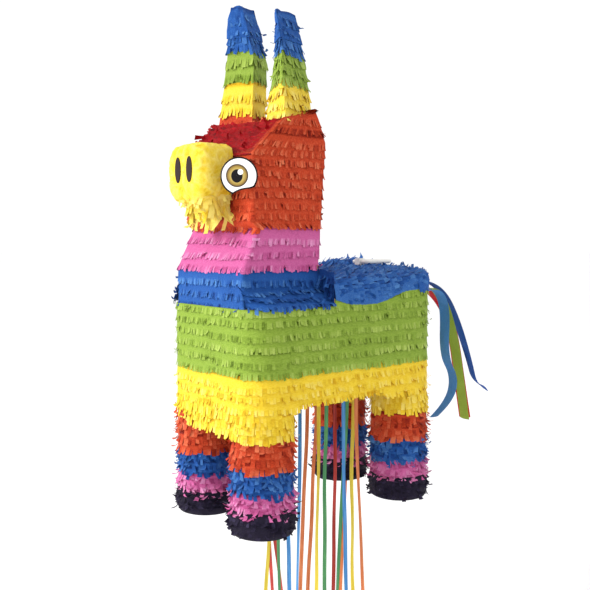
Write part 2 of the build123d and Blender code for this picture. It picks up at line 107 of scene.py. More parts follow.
class Sheets:
    """Paper built up from many grids of points, then made into one mesh."""

    def __init__(self):
        self.points, self.faces, self.tints, self.marks = [], [], [], []
        self.count = 0

    def add(self, points, faces, tints, mark=0):
        """Add points in donkey millimetres and faces that index them."""
        points = np.asarray(points, float).reshape(-1, 3)
        faces = np.asarray(faces, int)
        self.points.append(points)
        self.faces.append(faces + self.count)
        self.tints.append(np.broadcast_to(np.asarray(tints, float).ravel(), (len(points),)))
        self.marks.append(np.full(len(faces), mark))
        self.count += len(points)

    def grid(self, points, tint=0.5, mark=0):
        """Add a grid of points, rows by columns."""
        points = np.asarray(points, float)
        self.add(points, quads(*points.shape[:2]), tint, mark)

    def build(self, name, body, materials, nodes=()):
        """Make the object, put it on its body, and let it stand for CAD nodes."""
        points = to_row(np.concatenate(self.points))
        faces, tints = np.concatenate(self.faces), np.concatenate(self.tints)
        piece = mesh_piece(name, points, faces, tints)
        piece.data.polygons.foreach_set("material_index", np.concatenate(self.marks).astype(int))
        for material in materials:
            piece.data.materials.append(material)
        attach(piece, body)
        if nodes:
            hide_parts(*nodes)
        return piece

    def paper(self, node, ending="rows", colour=None, body="donkey_body"):
        """Make the tissue that stands for a CAD node; its name ends in the colour, if none is given."""
        colour = colour or node.split("_")[-1]
        self.build(f"{node}_{ending}", body, [TISSUE[colour]], [node])


class Look:
    """How one kind of tissue is cut and how it has curled, in millimetres and radians."""

    def __init__(self, **changes):
        self.length, self.tab, self.header = 19.0, 2.9, 0.60
        self.low, self.slope = 0.5, 0.07
        self.curl, self.spread = 0.05, 0.10
        self.wild, self.wild_curl = 0.05, 1.0
        self.lean, self.twist, self.crease = 0.03, 0.16, 0.14
        self.ragged, self.wander, self.drift = 0.6, 0.5, 0.8
        self.gap, self.strip = 0.06, (80.0, 190.0)
        # deep is the tint of a header's hidden rows: painted shade under the tips of the row above
        self.deep, self.pitch = 0.12, 12.0
        self.__dict__.update(changes)


STEPS = (0.30, 0.34, 0.36)  # how the cut part of a tab is shared between its three folds
BENDS = (0.35, 1.0, 1.9)  # how much of the tab's curl each fold has
UNEVEN = 0.13  # how far a cut strays, against the tab's width
SWAYS = (37.0, 15.0)  # the two waves along a strip's edge, in mm a radian
ROUGH, FRAYED = 0.08, 0.35  # unevenness of the header, and of the tabs' ends
WILDER, WILD_CURLS = 3, (0.45, 1.4)  # how much more a wild tab leans and twists, and curls
DEEPER = (0.0, 0.08)  # how much lighter than look.deep the header's hidden rows are; look.deep is their tint, painted shade under the row above
STRIP_TONE, TAB_TONE = 0.06, 0.12  # how the tint differs between strips, and between tabs
LIGHTER = 0.045  # how much lighter each fold is than the one above it: painted shade near the header that lifts towards the lit tips


def cut_strip(ends, look, rng):
    """A strip's cuts, the tabs' middles, and both in turn."""
    first, last = ends
    count = max(2, int(round(abs(last - first) / look.tab)))
    cuts = np.linspace(first, last, count + 1)
    jitter = rng.normal(0, UNEVEN * look.tab, count + 1)
    jitter[[0, -1]] = 0
    cuts = cuts + jitter
    middle = (cuts[:-1] + cuts[1:]) / 2
    columns = np.empty(2 * count + 1)
    columns[0::2], columns[1::2] = cuts, middle
    return cuts, middle, columns


def stray(columns, look, rng):
    """How far a strip's edge wanders off its line."""
    phase = rng.uniform(0, 2 * math.pi, 2)
    waves = [np.sin(columns / length + phase[k]) for k, length in enumerate(SWAYS)]
    sway = look.wander * (waves[0] + 0.6 * waves[1])
    return sway + rng.normal(0, look.drift) * (columns - columns.mean()) / 120


def header_points(surface, columns, top, hold, look, rng):
    """Four rows of points on the glued header, and how far its lower edge stands off."""
    glued = look.header * look.length
    hold_lift = look.low + glued * look.slope
    hidden = np.clip((look.length - look.pitch - 2.0) / glued, 0.25, 0.8)
    parts = (0.0, hidden - 0.15, hidden + 0.05, 1.0)
    depths = [top + part * (hold - top) for part in parts]
    places, outward = surface(np.tile(columns, 4), np.concatenate(depths))
    levels = [look.low + part * (hold_lift - look.low) for part in parts]
    lifts = np.repeat(levels, len(columns)) + rng.normal(0, ROUGH, 4 * len(columns))
    return places + outward * lifts[:, None], hold_lift


def tab_points(surface, cuts, middle, hold, hold_lift, look, rng):
    """Three rows of points on the tabs, which curl, lean and twist below the header."""
    count = len(middle)
    curl = np.abs(rng.normal(look.curl, look.spread, count))
    wild = rng.random(count) < look.wild
    curl[wild] = look.wild_curl * rng.uniform(*WILD_CURLS, wild.sum())
    lean = rng.normal(0, look.lean, count)
    lean[wild] *= WILDER
    twist = rng.normal(0, look.twist, count)
    twist[wild] *= WILDER
    crease = rng.normal(0, look.crease, count)
    free = look.length - look.header * look.length
    reach = free * (1 + rng.normal(0, look.ragged / free, count))
    half = (cuts[1:] - cuts[:-1]) / 2
    down = np.zeros(count)
    out = np.zeros(count)
    rows = []
    for number, share in enumerate(STEPS):
        bend = look.slope + curl * BENDS[number]
        down = down + reach * share * np.cos(bend)
        out = out + reach * share * np.sin(bend)
        t = sum(STEPS[: number + 1])
        shrink = half * (1 - look.gap * (0.6 + 0.6 * t))
        centre = middle + lean * reach * t
        u = np.stack([centre - shrink, centre, centre + shrink], 1)
        base = hold + down
        skew = twist * 0.4 * t
        v = np.stack([base + skew, base, base - skew], 1)
        if number == 2:
            v = v + rng.normal(0, FRAYED, v.shape)
        rock = np.stack([-twist * t, crease * t, twist * t], 1)
        lift = np.maximum(hold_lift + out[:, None] + rock, look.low * 0.5)
        spot, normal = surface(u.ravel(), v.ravel())
        rows.append(spot + normal * lift.ravel()[:, None])
    return rows


def strip_faces(count, here):
    """The faces of a strip's header and tabs; here says which of the tabs there are."""
    wide = 2 * count + 1
    column = np.arange(wide - 1)
    header = np.stack([column, column + 1, wide + column + 1, wide + column], 1)
    header = header[here[column // 2]]
    faces = [header + wide * row for row in range(3)]
    number = np.arange(count)
    for row in range(3):
        below = 4 * wide + 3 * count * row + 3 * number
        above = 3 * wide + 2 * number if row == 0 else below - 3 * count
        for side in (0, 1):
            quad = np.stack([above + side, above + side + 1, below + side + 1, below + side], 1)
            faces.append(quad[here])
    return np.concatenate(faces)


def fringe(sheets, surface, ends, start, look, rng, limit=None, keep=None, shade=0.5):
    """One strip of tissue along a surface, cut into tabs below its glued header.

    limit(u) gives the least v that the strip may reach up to, and keep(u, v) masks tabs.
    """
    cuts, middle, columns = cut_strip(ends, look, rng)
    top = start + stray(columns, look, rng)
    hold = top + look.header * look.length
    here = np.ones(len(middle), bool)
    if limit is not None:
        edge = limit(columns)
        top = np.maximum(top, edge)
        hold = np.maximum(hold, edge + 0.8)
        here &= limit(middle) < start + 0.72 * look.length
    if keep is not None:
        here &= keep(middle, start + 0.6 * look.length)
    header, hold_lift = header_points(surface, columns, top, hold, look, rng)
    tabs = tab_points(surface, cuts, middle, hold[1::2], hold_lift, look, rng)
    tone = shade + rng.normal(0, STRIP_TONE) + rng.normal(0, TAB_TONE, len(middle))
    # The header's hidden rows, and the top of its shown part, are tinted darker: painted shade under
    # the row above.
    hidden = [look.deep + more for more in DEEPER]
    header_tints = np.repeat((*hidden, shade - 0.04, shade), len(columns))
    # each fold is tinted lighter than the one above it: painted light on the tips
    tab_tints = [np.repeat(tone + LIGHTER * fold, 3) for fold in range(3)]
    tints = np.concatenate([header_tints, *tab_tints])
    sheets.add(np.concatenate([header, *tabs]), strip_faces(len(middle), here), tints)


def cover(
    sheets, surface, ends, span, look, seed, pitch=12.0, limit=None, keep=None, extra=0.0, shade=0.5
):
    """Rows of fringe over a patch, upper rows over lower ones, tips of the last at the end."""
    rng = np.random.default_rng(seed)
    first, last = span
    rows = max(1, int(round((last - first - look.length) / pitch)) + 1)
    step = (last - first - look.length) / max(rows - 1, 1)
    look.pitch = step if rows > 1 else 0.6 * look.length  # it says how much of a header is hidden
    for row in range(rows):
        start = first + row * step if rows > 1 else last - look.length
        a = ends[0] + rng.uniform(-extra, extra)
        stop = ends[1] + rng.uniform(-extra, extra)
        while a < stop - 1:
            b = a + rng.uniform(*look.strip)
            if stop - b < 0.4 * look.strip[0]:
                b = stop
            begin = start + rng.normal(0, look.drift)
            fringe(sheets, surface, (a, b), begin, look, rng, limit, keep, shade)
            a = b - rng.uniform(0, 2)
            if b >= stop:
                break


def backing(sheets, surface, ends, span, step=6.0, lift=0.25, limit=None):
    """Plain paper glued flat on the card, seen only through slits; its darker tint is painted shade in
    the slits.
    """
    u = np.linspace(*ends, max(2, int(abs(ends[1] - ends[0]) / step) + 2))
    v = np.linspace(*span, max(2, int(abs(span[1] - span[0]) / step) + 2))
    across, along = np.meshgrid(u, v)
    if limit is not None:
        along = np.maximum(along, limit(across.ravel()).reshape(along.shape))
    places, outward = surface(across.ravel(), along.ravel())
    sheets.grid((places + outward * lift).reshape(*across.shape, 3), tint=0.3)


# ---- materials
def srgb(r, g, b):
    """A screen colour, 0 to 255, as linear light."""
    parts = [c / 255 for c in (r, g, b)]
    return tuple(c / 12.92 if c <= 0.04045 else ((c + 0.055) / 1.055) ** 2.4 for c in parts)


class Nodes:
    """Shorthand for wiring one material's nodes."""

    def __init__(self, name):
        self.material = bpy.data.materials.new(name)
        self.material.use_nodes = True
        self.tree = self.material.node_tree
        self.shader = self.tree.nodes["Principled BSDF"]

    def new(self, kind, **inputs):
        """A node with some of its inputs set or linked."""
        node = self.tree.nodes.new(kind)
        for key, value in inputs.items():
            self.put(node, key.replace("_", " "), value)
        return node

    def put(self, node, key, value):
        """Set or link one input of a node."""
        socket = node.inputs[int(key) if key.isdigit() else key]
        if isinstance(value, bpy.types.NodeSocket):
            self.tree.links.new(value, socket)
        else:
            socket.default_value = value

    def place(self, scale):
        """Object coordinates stretched by a scale."""
        coords = self.new("ShaderNodeTexCoord")
        mapping = self.new("ShaderNodeMapping", Vector=coords.outputs["Object"])
        mapping.inputs["Scale"].default_value = scale
        return mapping.outputs["Vector"]

    def noise(self, scale, detail=3.0, roughness=0.55, at=None):
        """A noise texture's value."""
        node = self.new("ShaderNodeTexNoise", Scale=scale, Detail=detail, Roughness=roughness)
        if at is not None:
            self.tree.links.new(at, node.inputs["Vector"])
        return node.outputs["Fac"]

    def ramp(self, value, stops):
        """A colour ramp from stops, each a position and a screen colour."""
        node = self.new("ShaderNodeValToRGB", Fac=value)
        ramp = node.color_ramp
        while len(ramp.elements) < len(stops):
            ramp.elements.new(0.5)
        for element, (spot, colour) in zip(ramp.elements, stops):
            element.position = spot
            element.color = (*srgb(*colour), 1.0)
        return node.outputs["Color"]

    def maths(self, kind, *values):
        """A maths node's value."""
        node = self.tree.nodes.new("ShaderNodeMath")
        node.operation = kind
        for number, value in enumerate(values):
            self.put(node, str(number), value)
        return node.outputs[0]

    def mix(self, factor, a, b, kind="MIX"):
        """A colour mix."""
        node = self.tree.nodes.new("ShaderNodeMixRGB")
        node.blend_type = kind
        for key, value in (("Fac", factor), ("Color1", a), ("Color2", b)):
            if isinstance(value, tuple):
                value = (*value, 1.0)
            self.put(node, key, value)
        return node.outputs["Color"]

    def tinted(self, pattern, amount):
        """The mesh's own tint, varied by a pattern."""
        tint = self.new("ShaderNodeAttribute")
        tint.attribute_name = "tint"
        change = self.maths("MULTIPLY", self.maths("SUBTRACT", pattern, 0.5), amount)
        return self.maths("ADD", tint.outputs["Fac"], change)

    def finish(self, colour, roughness, bump=None, distance=0.0003, strength=1.0, **sockets):
        """Wire colour and bump to the shader and set its plain sockets."""
        self.put(self.shader, "Base Color", colour)
        self.put(self.shader, "Roughness", roughness)
        if bump is not None:
            node = self.new("ShaderNodeBump", Height=bump, Strength=strength, Distance=distance)
            self.tree.links.new(node.outputs["Normal"], self.shader.inputs["Normal"])
        for key, value in sockets.items():
            self.put(self.shader, key.replace("_", " "), value)
        return self.material


def tissue(name, dark, plain, light, crinkle=1.0):
    """Tissue paper: each tab a little lighter or darker, with painted shade and light carried by its
    tint, and fine crepe lines and crumples.
    """
    n = Nodes(name)
    tone = n.tinted(n.noise(90.0, 2.0), 0.5)
    colour = n.ramp(tone, [(0.12, dark), (0.5, plain), (0.9, light)])
    lines = n.noise(620.0, 2.0, 0.6, n.place((1.0, 1.0, 0.16)))
    crumple = n.noise(210.0, 3.0, 0.6)
    height = n.maths("ADD", n.maths("MULTIPLY", lines, 0.5), crumple)
    return n.finish(colour, 0.6, height, 0.0011 * crinkle, 0.75, Specular_IOR_Level=0.12)


def card(name):
    """Brown corrugated card, with faint flutes."""
    n = Nodes(name)
    flute = n.tree.nodes.new("ShaderNodeTexWave")
    flute.inputs["Scale"].default_value = 55.0
    flute.inputs["Distortion"].default_value = 0.4
    n.tree.links.new(n.place((1.0, 0.0, 1.0)), flute.inputs["Vector"])
    fibre = n.noise(380.0, 4.0)
    colour = n.ramp(fibre, [(0.25, (150, 118, 82)), (0.55, (182, 148, 108)), (0.8, (202, 170, 130))])
    height = n.maths("ADD", n.maths("MULTIPLY", flute.outputs["Fac"], 0.6), fibre)
    return n.finish(colour, 0.85, height, 0.0003, 0.5)


def ribbon_skin(name, dark, light):
    """Satin curling ribbon with lengthwise streaks."""
    n = Nodes(name)
    streak = n.noise(900.0, 2.0, 0.5, n.place((1.0, 1.0, 0.02)))
    colour = n.ramp(streak, [(0.3, dark), (0.7, light)])
    return n.finish(colour, 0.42, streak, 0.0002, 0.4, Specular_IOR_Level=0.3)


def plastic(name, dark, light, roughness=0.42):
    """Moulded plastic with a faint grain."""
    n = Nodes(name)
    grain = n.noise(700.0, 3.0)
    colour = n.ramp(n.noise(60.0, 2.0), [(0.3, dark), (0.7, light)])
    return n.finish(colour, roughness, grain, 0.0001, 0.3, Specular_IOR_Level=0.12)


def wood(name):
    """Pale wooden dowel."""
    n = Nodes(name)
    grain = n.noise(160.0, 4.0, 0.6, n.place((0.06, 1.0, 1.0)))
    colour = n.ramp(grain, [(0.3, (176, 136, 88)), (0.7, (218, 184, 136))])
    return n.finish(colour, 0.6, grain, 0.0002, 0.4)


TISSUE_COLOURS = {  # dark, plain and light, and how deep the crumples are
    "yellow": ((206, 152, 10), (242, 208, 52), (250, 228, 120), 1.0),
    "green": ((80, 104, 20), (138, 166, 60), (174, 196, 96), 1.0),
    "blue": ((8, 34, 98), (36, 88, 164), (84, 136, 200), 1.0),
    "pink": ((150, 44, 100), (208, 98, 158), (232, 154, 200), 1.0),
    "red": ((124, 20, 6), (196, 66, 34), (230, 122, 84), 1.0),
    "crimson": ((92, 0, 8), (152, 2, 14), (178, 14, 26), 1.2),
    "black": ((12, 10, 20), (34, 28, 48), (60, 54, 80), 1.2),
}
TISSUE = {name: tissue("tissue_" + name, *colours) for name, colours in TISSUE_COLOURS.items()}

# ---- dimensions that the pieces share with the CAD
SKIN = 3.0  # tissue over the card
LEG_X, WHEELBASE, LEG_R = 53.5, 212.5, 33.0  # card tube, not tissue
CARD_X = LEG_X + LEG_R
HEAD_X = 62.0  # half the head's width over the card
WAVE_POINTS = [  # the side panels' wavy edge: distance behind the front legs, and height
    (74.0, 251.0), (97.0, 245.0), (122.0, 243.5), (142.0, 244.0), (163.0, 249.0), (184.0, 255.0),
    (208.0, 257.0), (250.0, 257.0),
]
SHOULDER, NECK_REAR = 243.0, 74.0  # the green's top beside the neck, and where that ends
BACK_R, BACK_CENTRE = 460.0, -180.0  # the back's gentle arch
BACK_ROUND, BACK_HALF = 16.0, 85.2  # its rounding, at a half width between the card's and the tissue's


def wave_height(d):
    """Height of the side panels' wavy edge, a smooth curve through its points."""
    spots = np.array(WAVE_POINTS)
    x, y = spots[:, 0], spots[:, 1]
    slopes = np.gradient(y, x)
    d = np.clip(np.asarray(d, float), x[0], x[-1])
    i = np.clip(np.searchsorted(x, d) - 1, 0, len(x) - 2)
    gap = x[i + 1] - x[i]
    t = (d - x[i]) / gap
    return (
        (2 * t**3 - 3 * t**2 + 1) * y[i]
        + (t**3 - 2 * t**2 + t) * gap * slopes[i]
        + (3 * t**2 - 2 * t**3) * y[i + 1]
        + (t**3 - t**2) * gap * slopes[i + 1]
    )


def back_profile():
    """Where the arch ends and its rounding ends, along the back's section, and its centre."""
    angle = math.asin((BACK_HALF - BACK_ROUND) / (BACK_R - BACK_ROUND))
    arch_end = BACK_R * angle
    round_end = arch_end + BACK_ROUND * (math.pi / 2 - angle)
    level = BACK_CENTRE + (BACK_R - BACK_ROUND) * math.cos(angle)
    return arch_end, round_end, level


def back_height(x):
    """Height of the back's card over a side position."""
    x = np.clip(np.abs(x), 0, BACK_HALF - 0.2)
    level = back_profile()[2]
    beyond = np.maximum(x - (BACK_HALF - BACK_ROUND), 0)
    arch = BACK_CENTRE + np.sqrt(BACK_R**2 - x**2)
    return np.where(beyond > 0, level + np.sqrt(BACK_ROUND**2 - beyond**2), arch)


class Loop:
    """A closed plan outline, read by the distance along it."""

    def __init__(self, points, normals):
        self.points = np.vstack([points, points[:1]])
        self.normals = np.vstack([normals, normals[:1]])
        self.s = run(self.points)
        self.total = self.s[-1]

    def at(self, u):
        """Points and outward normals at distances along the outline."""
        u = np.mod(u, self.total)
        spot = np.stack([np.interp(u, self.s, self.points[:, k]) for k in (0, 1)], -1)
        out = np.stack([np.interp(u, self.s, self.normals[:, k]) for k in (0, 1)], -1)
        return spot, unit(out)


def rounded_box(half_x, low_d, high_d, radius):
    """Plan outline that starts at the front middle and runs round by the left side."""
    corners = [
        (half_x - radius, low_d + radius, -90),
        (half_x - radius, high_d - radius, 0),
        (radius - half_x, high_d - radius, 90),
        (radius - half_x, low_d + radius, 180),
    ]
    points, normals = [(0.0, low_d)], [(0.0, -1.0)]
    for x, d, begin in corners:
        for angle in np.radians(np.linspace(begin, begin + 90, 19)):
            out = (math.cos(angle), math.sin(angle))
            points.append((x + radius * out[0], d + radius * out[1]))
            normals.append(out)
    return Loop(np.array(points), np.array(normals))


def wall(loop, top):
    """A vertical surface under a plan outline; v runs down from its top."""

    def surface(u, v):
        spot, out = loop.at(u)
        places = np.column_stack([spot, top - v])
        return places, np.column_stack([out, np.zeros(len(out))])

    return surface


BODY = rounded_box(CARD_X, -LEG_R, WHEELBASE + LEG_R, LEG_R)
CORNER = LEG_R * math.pi / 2
AROUND = 4 * CORNER
# distances round the body's outline to the ends of its straight stretches
SIDE_END = LEG_X + CORNER + WHEELBASE
RIGHT_START = SIDE_END + 2 * CORNER + 2 * LEG_X


# ---- body
BODY_TOP, GREEN_END, YELLOW_END = 275.0, 170.0, 133.0  # heights; the skirt goes on lower
SKIRT_TOP, SKIRT_LOW, SKIRT_RISE = 140.0, 100.0, 0.34


def body_limit(u):
    """The least v that tissue may reach on the body: the shoulder, the wave and the rump."""
    d = BODY.at(u)[0][:, 1]
    return BODY_TOP - np.where(d < NECK_REAR, SHOULDER, wave_height(d))


def make_body():
    """Yellow skirt with its leg sleeves, and the green band."""
    yellow, green = Sheets(), Sheets()
    surface = wall(BODY, BODY_TOP)
    look = Look(wild=0.04)
    whole = BODY.total
    # the strips of the front start at the chest's middle, where their ends overlap
    runs = [(2.0, SIDE_END + 12, 11), (SIDE_END + 10, RIGHT_START - 8, 12)]
    runs += [(RIGHT_START - 10, whole + 5.0, 13)]
    span = (BODY_TOP - 268, BODY_TOP - GREEN_END)
    for first, last, seed in runs:
        cover(green, surface, (first, last), span, look, seed, 12.2, body_limit)
    backing(green, surface, (0, whole), (span[0], span[1] + 2), limit=body_limit)

    low_look = Look(curl=0.08, spread=0.14, wild=0.07, drift=1.1, ragged=1.1, length=18.5, tab=3.4)
    span = (BODY_TOP - GREEN_END - 6, BODY_TOP - YELLOW_END)
    for first, last, seed in runs:
        cover(yellow, surface, (first, last), span, low_look, seed + 10, 12.5)
    backing(yellow, surface, (0, whole), (span[0], span[1] - 6))
    make_skirt(yellow)
    green.paper("body_tissue_green")
    yellow.paper("body_tissue_yellow")


def skirt_line(x):
    """How low the skirt hangs at the front, rising over the right leg."""
    return SKIRT_LOW + np.clip(-18.0 - x, 0, 80) * SKIRT_RISE


def make_skirt(yellow):
    """Rows that go on down over the legs, and across between the front and the rear pair."""
    look = Look(
        curl=0.07, spread=0.12, wild=0.06, tab=4.0, length=19.0, ragged=1.2, drift=1.0, header=0.45
    )
    for number, (x, d) in enumerate(LEG_PLACES):
        sleeve = leg_surface(x, d, SKIRT_TOP)

        def short(u, v, x=x, front=d < 1):
            low = SKIRT_TOP - v - 0.4 * look.length
            return low > skirt_line(x + LEG_R * np.cos(u / LEG_R)) - 3 * (not front) - 4

        cover(yellow, sleeve, (0, AROUND), (2, 37), look, 40 + number, 9.0, keep=short)
        backing(yellow, sleeve, (0, AROUND), (0, 34 if number != 1 else 14))
    flap = wall(BODY, SKIRT_TOP)

    def clear(u, v):
        low = SKIRT_TOP - v - 0.4 * look.length
        spot = BODY.at(u)[0]
        return (low > skirt_line(spot[:, 0]) - 4) | (spot[:, 1] > 100)

    for first, seed in ((-LEG_X - CORNER * 0.9, 50), (SIDE_END + CORNER * 0.1, 51)):
        ends = (first, first + 2 * LEG_X + 1.8 * CORNER)
        cover(yellow, flap, ends, (0, 37), look, seed, 9.0, keep=clear)
    for first in (-LEG_X + 8, SIDE_END + CORNER + 8):
        backing(yellow, flap, (first, first + 2 * LEG_X - 16), (0, 22), lift=-0.4)


# ---- legs
LEG_PLACES = [(LEG_X, 0.0), (-LEG_X, 0.0), (LEG_X, WHEELBASE), (-LEG_X, WHEELBASE)]
LEG_BANDS = [  # node, low edge, high edge
    ("leg_tissue_pink", 24.0, 47.0), ("leg_tissue_blue", 47.0, 73.0), ("leg_tissue_red", 73.0, 106.0),
]


def leg_surface(x, d, top):
    """The outside of a leg's tube; v runs down from its top."""

    def surface(u, v):
        angle = u / LEG_R
        out = np.column_stack([np.cos(angle), np.sin(angle), np.zeros(len(angle))])
        places = np.column_stack([x + LEG_R * out[:, 0], d + LEG_R * out[:, 1], top - v])
        return places, out

    return surface


def make_legs():
    """Crumpled bands on the legs and the smooth dark feet."""
    for band, (name, low, high) in enumerate(LEG_BANDS):
        sheets = Sheets()
        crumpled = Look(
            length=11.5, tab=4.2, header=0.34, curl=0.26, spread=0.34, wild=0.10, wild_curl=1.0,
            lean=0.3, twist=0.9, crease=0.6, ragged=1.8, wander=1.0, drift=1.2, gap=0.05,
            strip=(60.0, 110.0), deep=0.2,
        )
        smooth = Look(
            length=14.0, tab=4.8, header=0.35, curl=0.16, spread=0.24, wild=0.08, lean=0.08,
            twist=0.5, crease=0.4, ragged=1.4, wander=0.8, drift=1.0, strip=(60.0, 110.0),
        )
        for number, (x, d) in enumerate(LEG_PLACES):
            # the skirt rises over the right front leg, so its red goes on further up
            top = high + 20.0 * (name == "leg_tissue_red" and number == 1)
            surface = leg_surface(x, d, top)
            look, pitch = (smooth, 8.5) if name == "leg_tissue_red" else (crumpled, 6.0)
            span = (-3.0, top - low + 3.0)
            cover(sheets, surface, (0, AROUND), span, look, 60 + 10 * band + number, pitch)
            backing(sheets, surface, (0, AROUND), (-2, top - low + 1))
        sheets.paper(name)
    make_feet()


FOOT_PROFILE = [  # radius and height of a foot's paper, down from under the pink, then beneath it
    (34.8, 27), (35.4, 20), (35.5, 13), (35.3, 8), (34.9, 4.2), (34.0, 1.4), (33.2, -0.3),
    (31.5, -1.0), (24, -1.0), (0.5, -1.0),
]


def make_feet():
    """Smooth dark paper pulled round the ends of the legs, with a few curly bits."""
    feet = Sheets()
    rng = np.random.default_rng(90)
    angles = np.linspace(0, 2 * math.pi, 73)
    for number, (x, d) in enumerate(LEG_PLACES):
        rows = []
        for radius, height in FOOT_PROFILE:
            ripple = np.abs(rng.normal(0, 0.35, len(angles)))
            ripple += 0.3 * np.sin(angles * 17 + height * 0.5 + number)
            ripple[-1] = ripple[0]
            r = radius + (ripple if radius > LEG_R + 0.5 else 0)  # the sole stays smooth
            ring = [x + r * np.cos(angles), d + r * np.sin(angles), np.full(len(angles), height)]
            rows.append(np.column_stack(ring))
        feet.grid(np.array(rows), tint=0.45)
        look = Look(
            length=10.0, tab=4.4, header=0.3, curl=0.25, spread=0.3, wild=0.10, wild_curl=1.2,
            lean=0.4, twist=1.1, crease=0.7, ragged=1.8, wander=1.0, low=1.9, slope=0.03, deep=0.3,
        )
        cover(feet, leg_surface(x, d, 27.0), (0, AROUND), (-2, 24), look, 91 + number, 5.0)
    feet.paper("leg_tissue_black", "feet")


# ---- neck and head
FRONT_LINE = [(200, -34), (283, -34), (327, -13), (333, -21), (406, -21), (445, 21), (455, 70)]
REAR_LINE = [(200, 74), (283, 74), (423, 84), (455, 70)]
CORNER_REACH = 3.5  # how near a corner the tissue starts to turn outwards


def line_at(line, height):
    """Distance behind the front legs of an outline at some heights."""
    heights, distances = zip(*line)
    return np.interp(height, heights, distances)


def head_surface(top, reference):
    """Neck and head, wound round from the front middle by the left side; v runs down.

    Side widths change with height, so distances along them are those of one height.
    """
    depth = line_at(REAR_LINE, reference) - line_at(FRONT_LINE, reference) - 2 * SKIN
    marks = np.cumsum([0, HEAD_X, depth, 2 * HEAD_X, depth, HEAD_X])

    def surface(u, v):
        height = top - v
        front = line_at(FRONT_LINE, height) + SKIN
        rear = line_at(REAR_LINE, height) - SKIN
        u = np.mod(u, marks[-1])
        leg = np.clip(np.searchsorted(marks, u, side="right") - 1, 0, 4)
        t = (u - marks[leg]) / (marks[leg + 1] - marks[leg])
        x = np.choose(
            leg, [t * HEAD_X, HEAD_X + 0 * t, HEAD_X * (1 - 2 * t), -HEAD_X + 0 * t, HEAD_X * (t - 1)]
        )
        d = np.choose(leg, [front, front + t * (rear - front), rear, rear + t * (front - rear), front])
        flat = np.choose(leg, [0, 1, 0, -1, 0]) * 1.0
        fore = np.choose(leg, [-1, 0, 1, 0, -1]) * 1.0
        for corner, sx, sd in ((1, 1, -1), (2, 1, 1), (3, -1, 1), (4, -1, -1)):
            away = np.abs(u - marks[corner])
            blend = np.clip(1 - away / CORNER_REACH, 0, 1) * 0.5
            flat = np.where(blend > 0, flat * (1 - blend) + sx * blend, flat)
            fore = np.where(blend > 0, fore * (1 - blend) + sd * blend, fore)
        out = unit(np.column_stack([flat, fore, np.zeros(len(u))]))
        return np.column_stack([x, d, height]), out

    return surface, marks


def make_neck():
    """Blue and pink bands round the neck; the blue spreads over the shoulders."""
    for name, low, high, look, seed in (
        ("neck_tissue_blue", SHOULDER, 283.0, Look(wild=0.06, ragged=0.9, deep=0.28, slope=0.05), 100),
        ("neck_tissue_pink", 283.0, 327.0, Look(wild=0.05, ragged=0.8, slope=0.05), 110),
    ):
        sheets = Sheets()
        top = high + 10
        surface, marks = head_surface(top, (low + high) / 2)
        left, rear = (marks[1] - 1, marks[2] + 1), (marks[2], marks[3])
        right, front = (marks[3] - 1, marks[4] + 1), (-marks[1] - 3, marks[1] + 3)
        for side, ends in enumerate((left, rear, right, front)):
            look.low = 1.0 if ends == front else 0.6
            # the blue's rows end higher at the sides and the rear, on the shoulders and the back
            span = (9, top - low + (3 if ends == front or low > SHOULDER else -10))
            cover(sheets, surface, ends, span, look, seed + side, extra=1.5)
        backing(sheets, surface, (0, marks[-1]), (8, top - low), step=4.0)
        if name == "neck_tissue_blue":
            make_shoulders(sheets)
        sheets.paper(name)


NECK_SIDE = 61.0
SHOULDER_LINE = ((61.5, 262.0), (88.6, 243.5))  # from the neck's side to the shoulder's edge
SHOULDER_RUN = 33.0  # how far the tissue follows it before it hangs down


def shoulder_surface(side):
    """From the neck's side out over the shoulder's edge; u runs back and v runs out and down."""
    along, out = tilt(*SHOULDER_LINE)

    def surface(u, v):
        spot = SHOULDER_LINE[0] + np.outer(np.minimum(v, SHOULDER_RUN), along)
        spot[:, 1] -= np.maximum(v - SHOULDER_RUN, 0.0)
        corner = np.clip((-8.0 - u) / 24.0, 0, 1) ** 2
        spot[:, 0] -= corner * np.clip(v / 30, 0, 1) * 16
        places = np.column_stack([side * spot[:, 0], u, spot[:, 1]])
        return places, np.tile([side * out[0], 0.0, out[1]], (len(u), 1))

    return surface


def shoulder_end(side):
    """The upright end of the back beside the neck; u runs outwards and v down."""

    def surface(u, v):
        x = NECK_SIDE + np.clip(u, 0, 27)
        height = back_height(np.minimum(x, 78.0)) + 4.0 - v
        places = np.column_stack([side * x, np.full(len(u), NECK_REAR - 0.8), height])
        return places, np.tile([0.0, -1.0, 0.0], (len(u), 1))

    return surface


def make_shoulders(sheets):
    """Blue tissue that hangs from the neck over the shoulders' edges, and closes the arch's end."""
    look = Look(wild=0.08, curl=0.08, ragged=1.6, length=20.0, deep=0.3)
    for side, seed in ((1, 104), (-1, 106)):
        surface = shoulder_surface(side)
        cover(sheets, surface, (-34, 74), (-8, 37), look, seed, 12.0)
        backing(sheets, surface, (-32, 73), (0, 33))
        # a darker sheet closes the arch's end: painted shade beside the neck
        x = np.linspace(60.0, 86.0, 10)
        top = back_height(x) + 2.0
        rows = [np.column_stack([side * x, np.full(10, 73.6), h]) for h in (top, 0 * x + 240.0)]
        sheets.grid(np.array(rows), tint=0.4)
        loose = Look(
            length=17.0, tab=3.6, header=0.3, curl=0.18, spread=0.3, wild=0.15, lean=0.3, twist=0.8,
            crease=0.5, ragged=2.0, deep=0.3,
        )
        # the loose tabs here are tinted darker than the rest of the blue: painted shade beside the neck
        cover(sheets, shoulder_end(side), (0, 28), (-4, 42), loose, seed + 1, 8.0, shade=0.35)


HEAD_TOP = 460.0


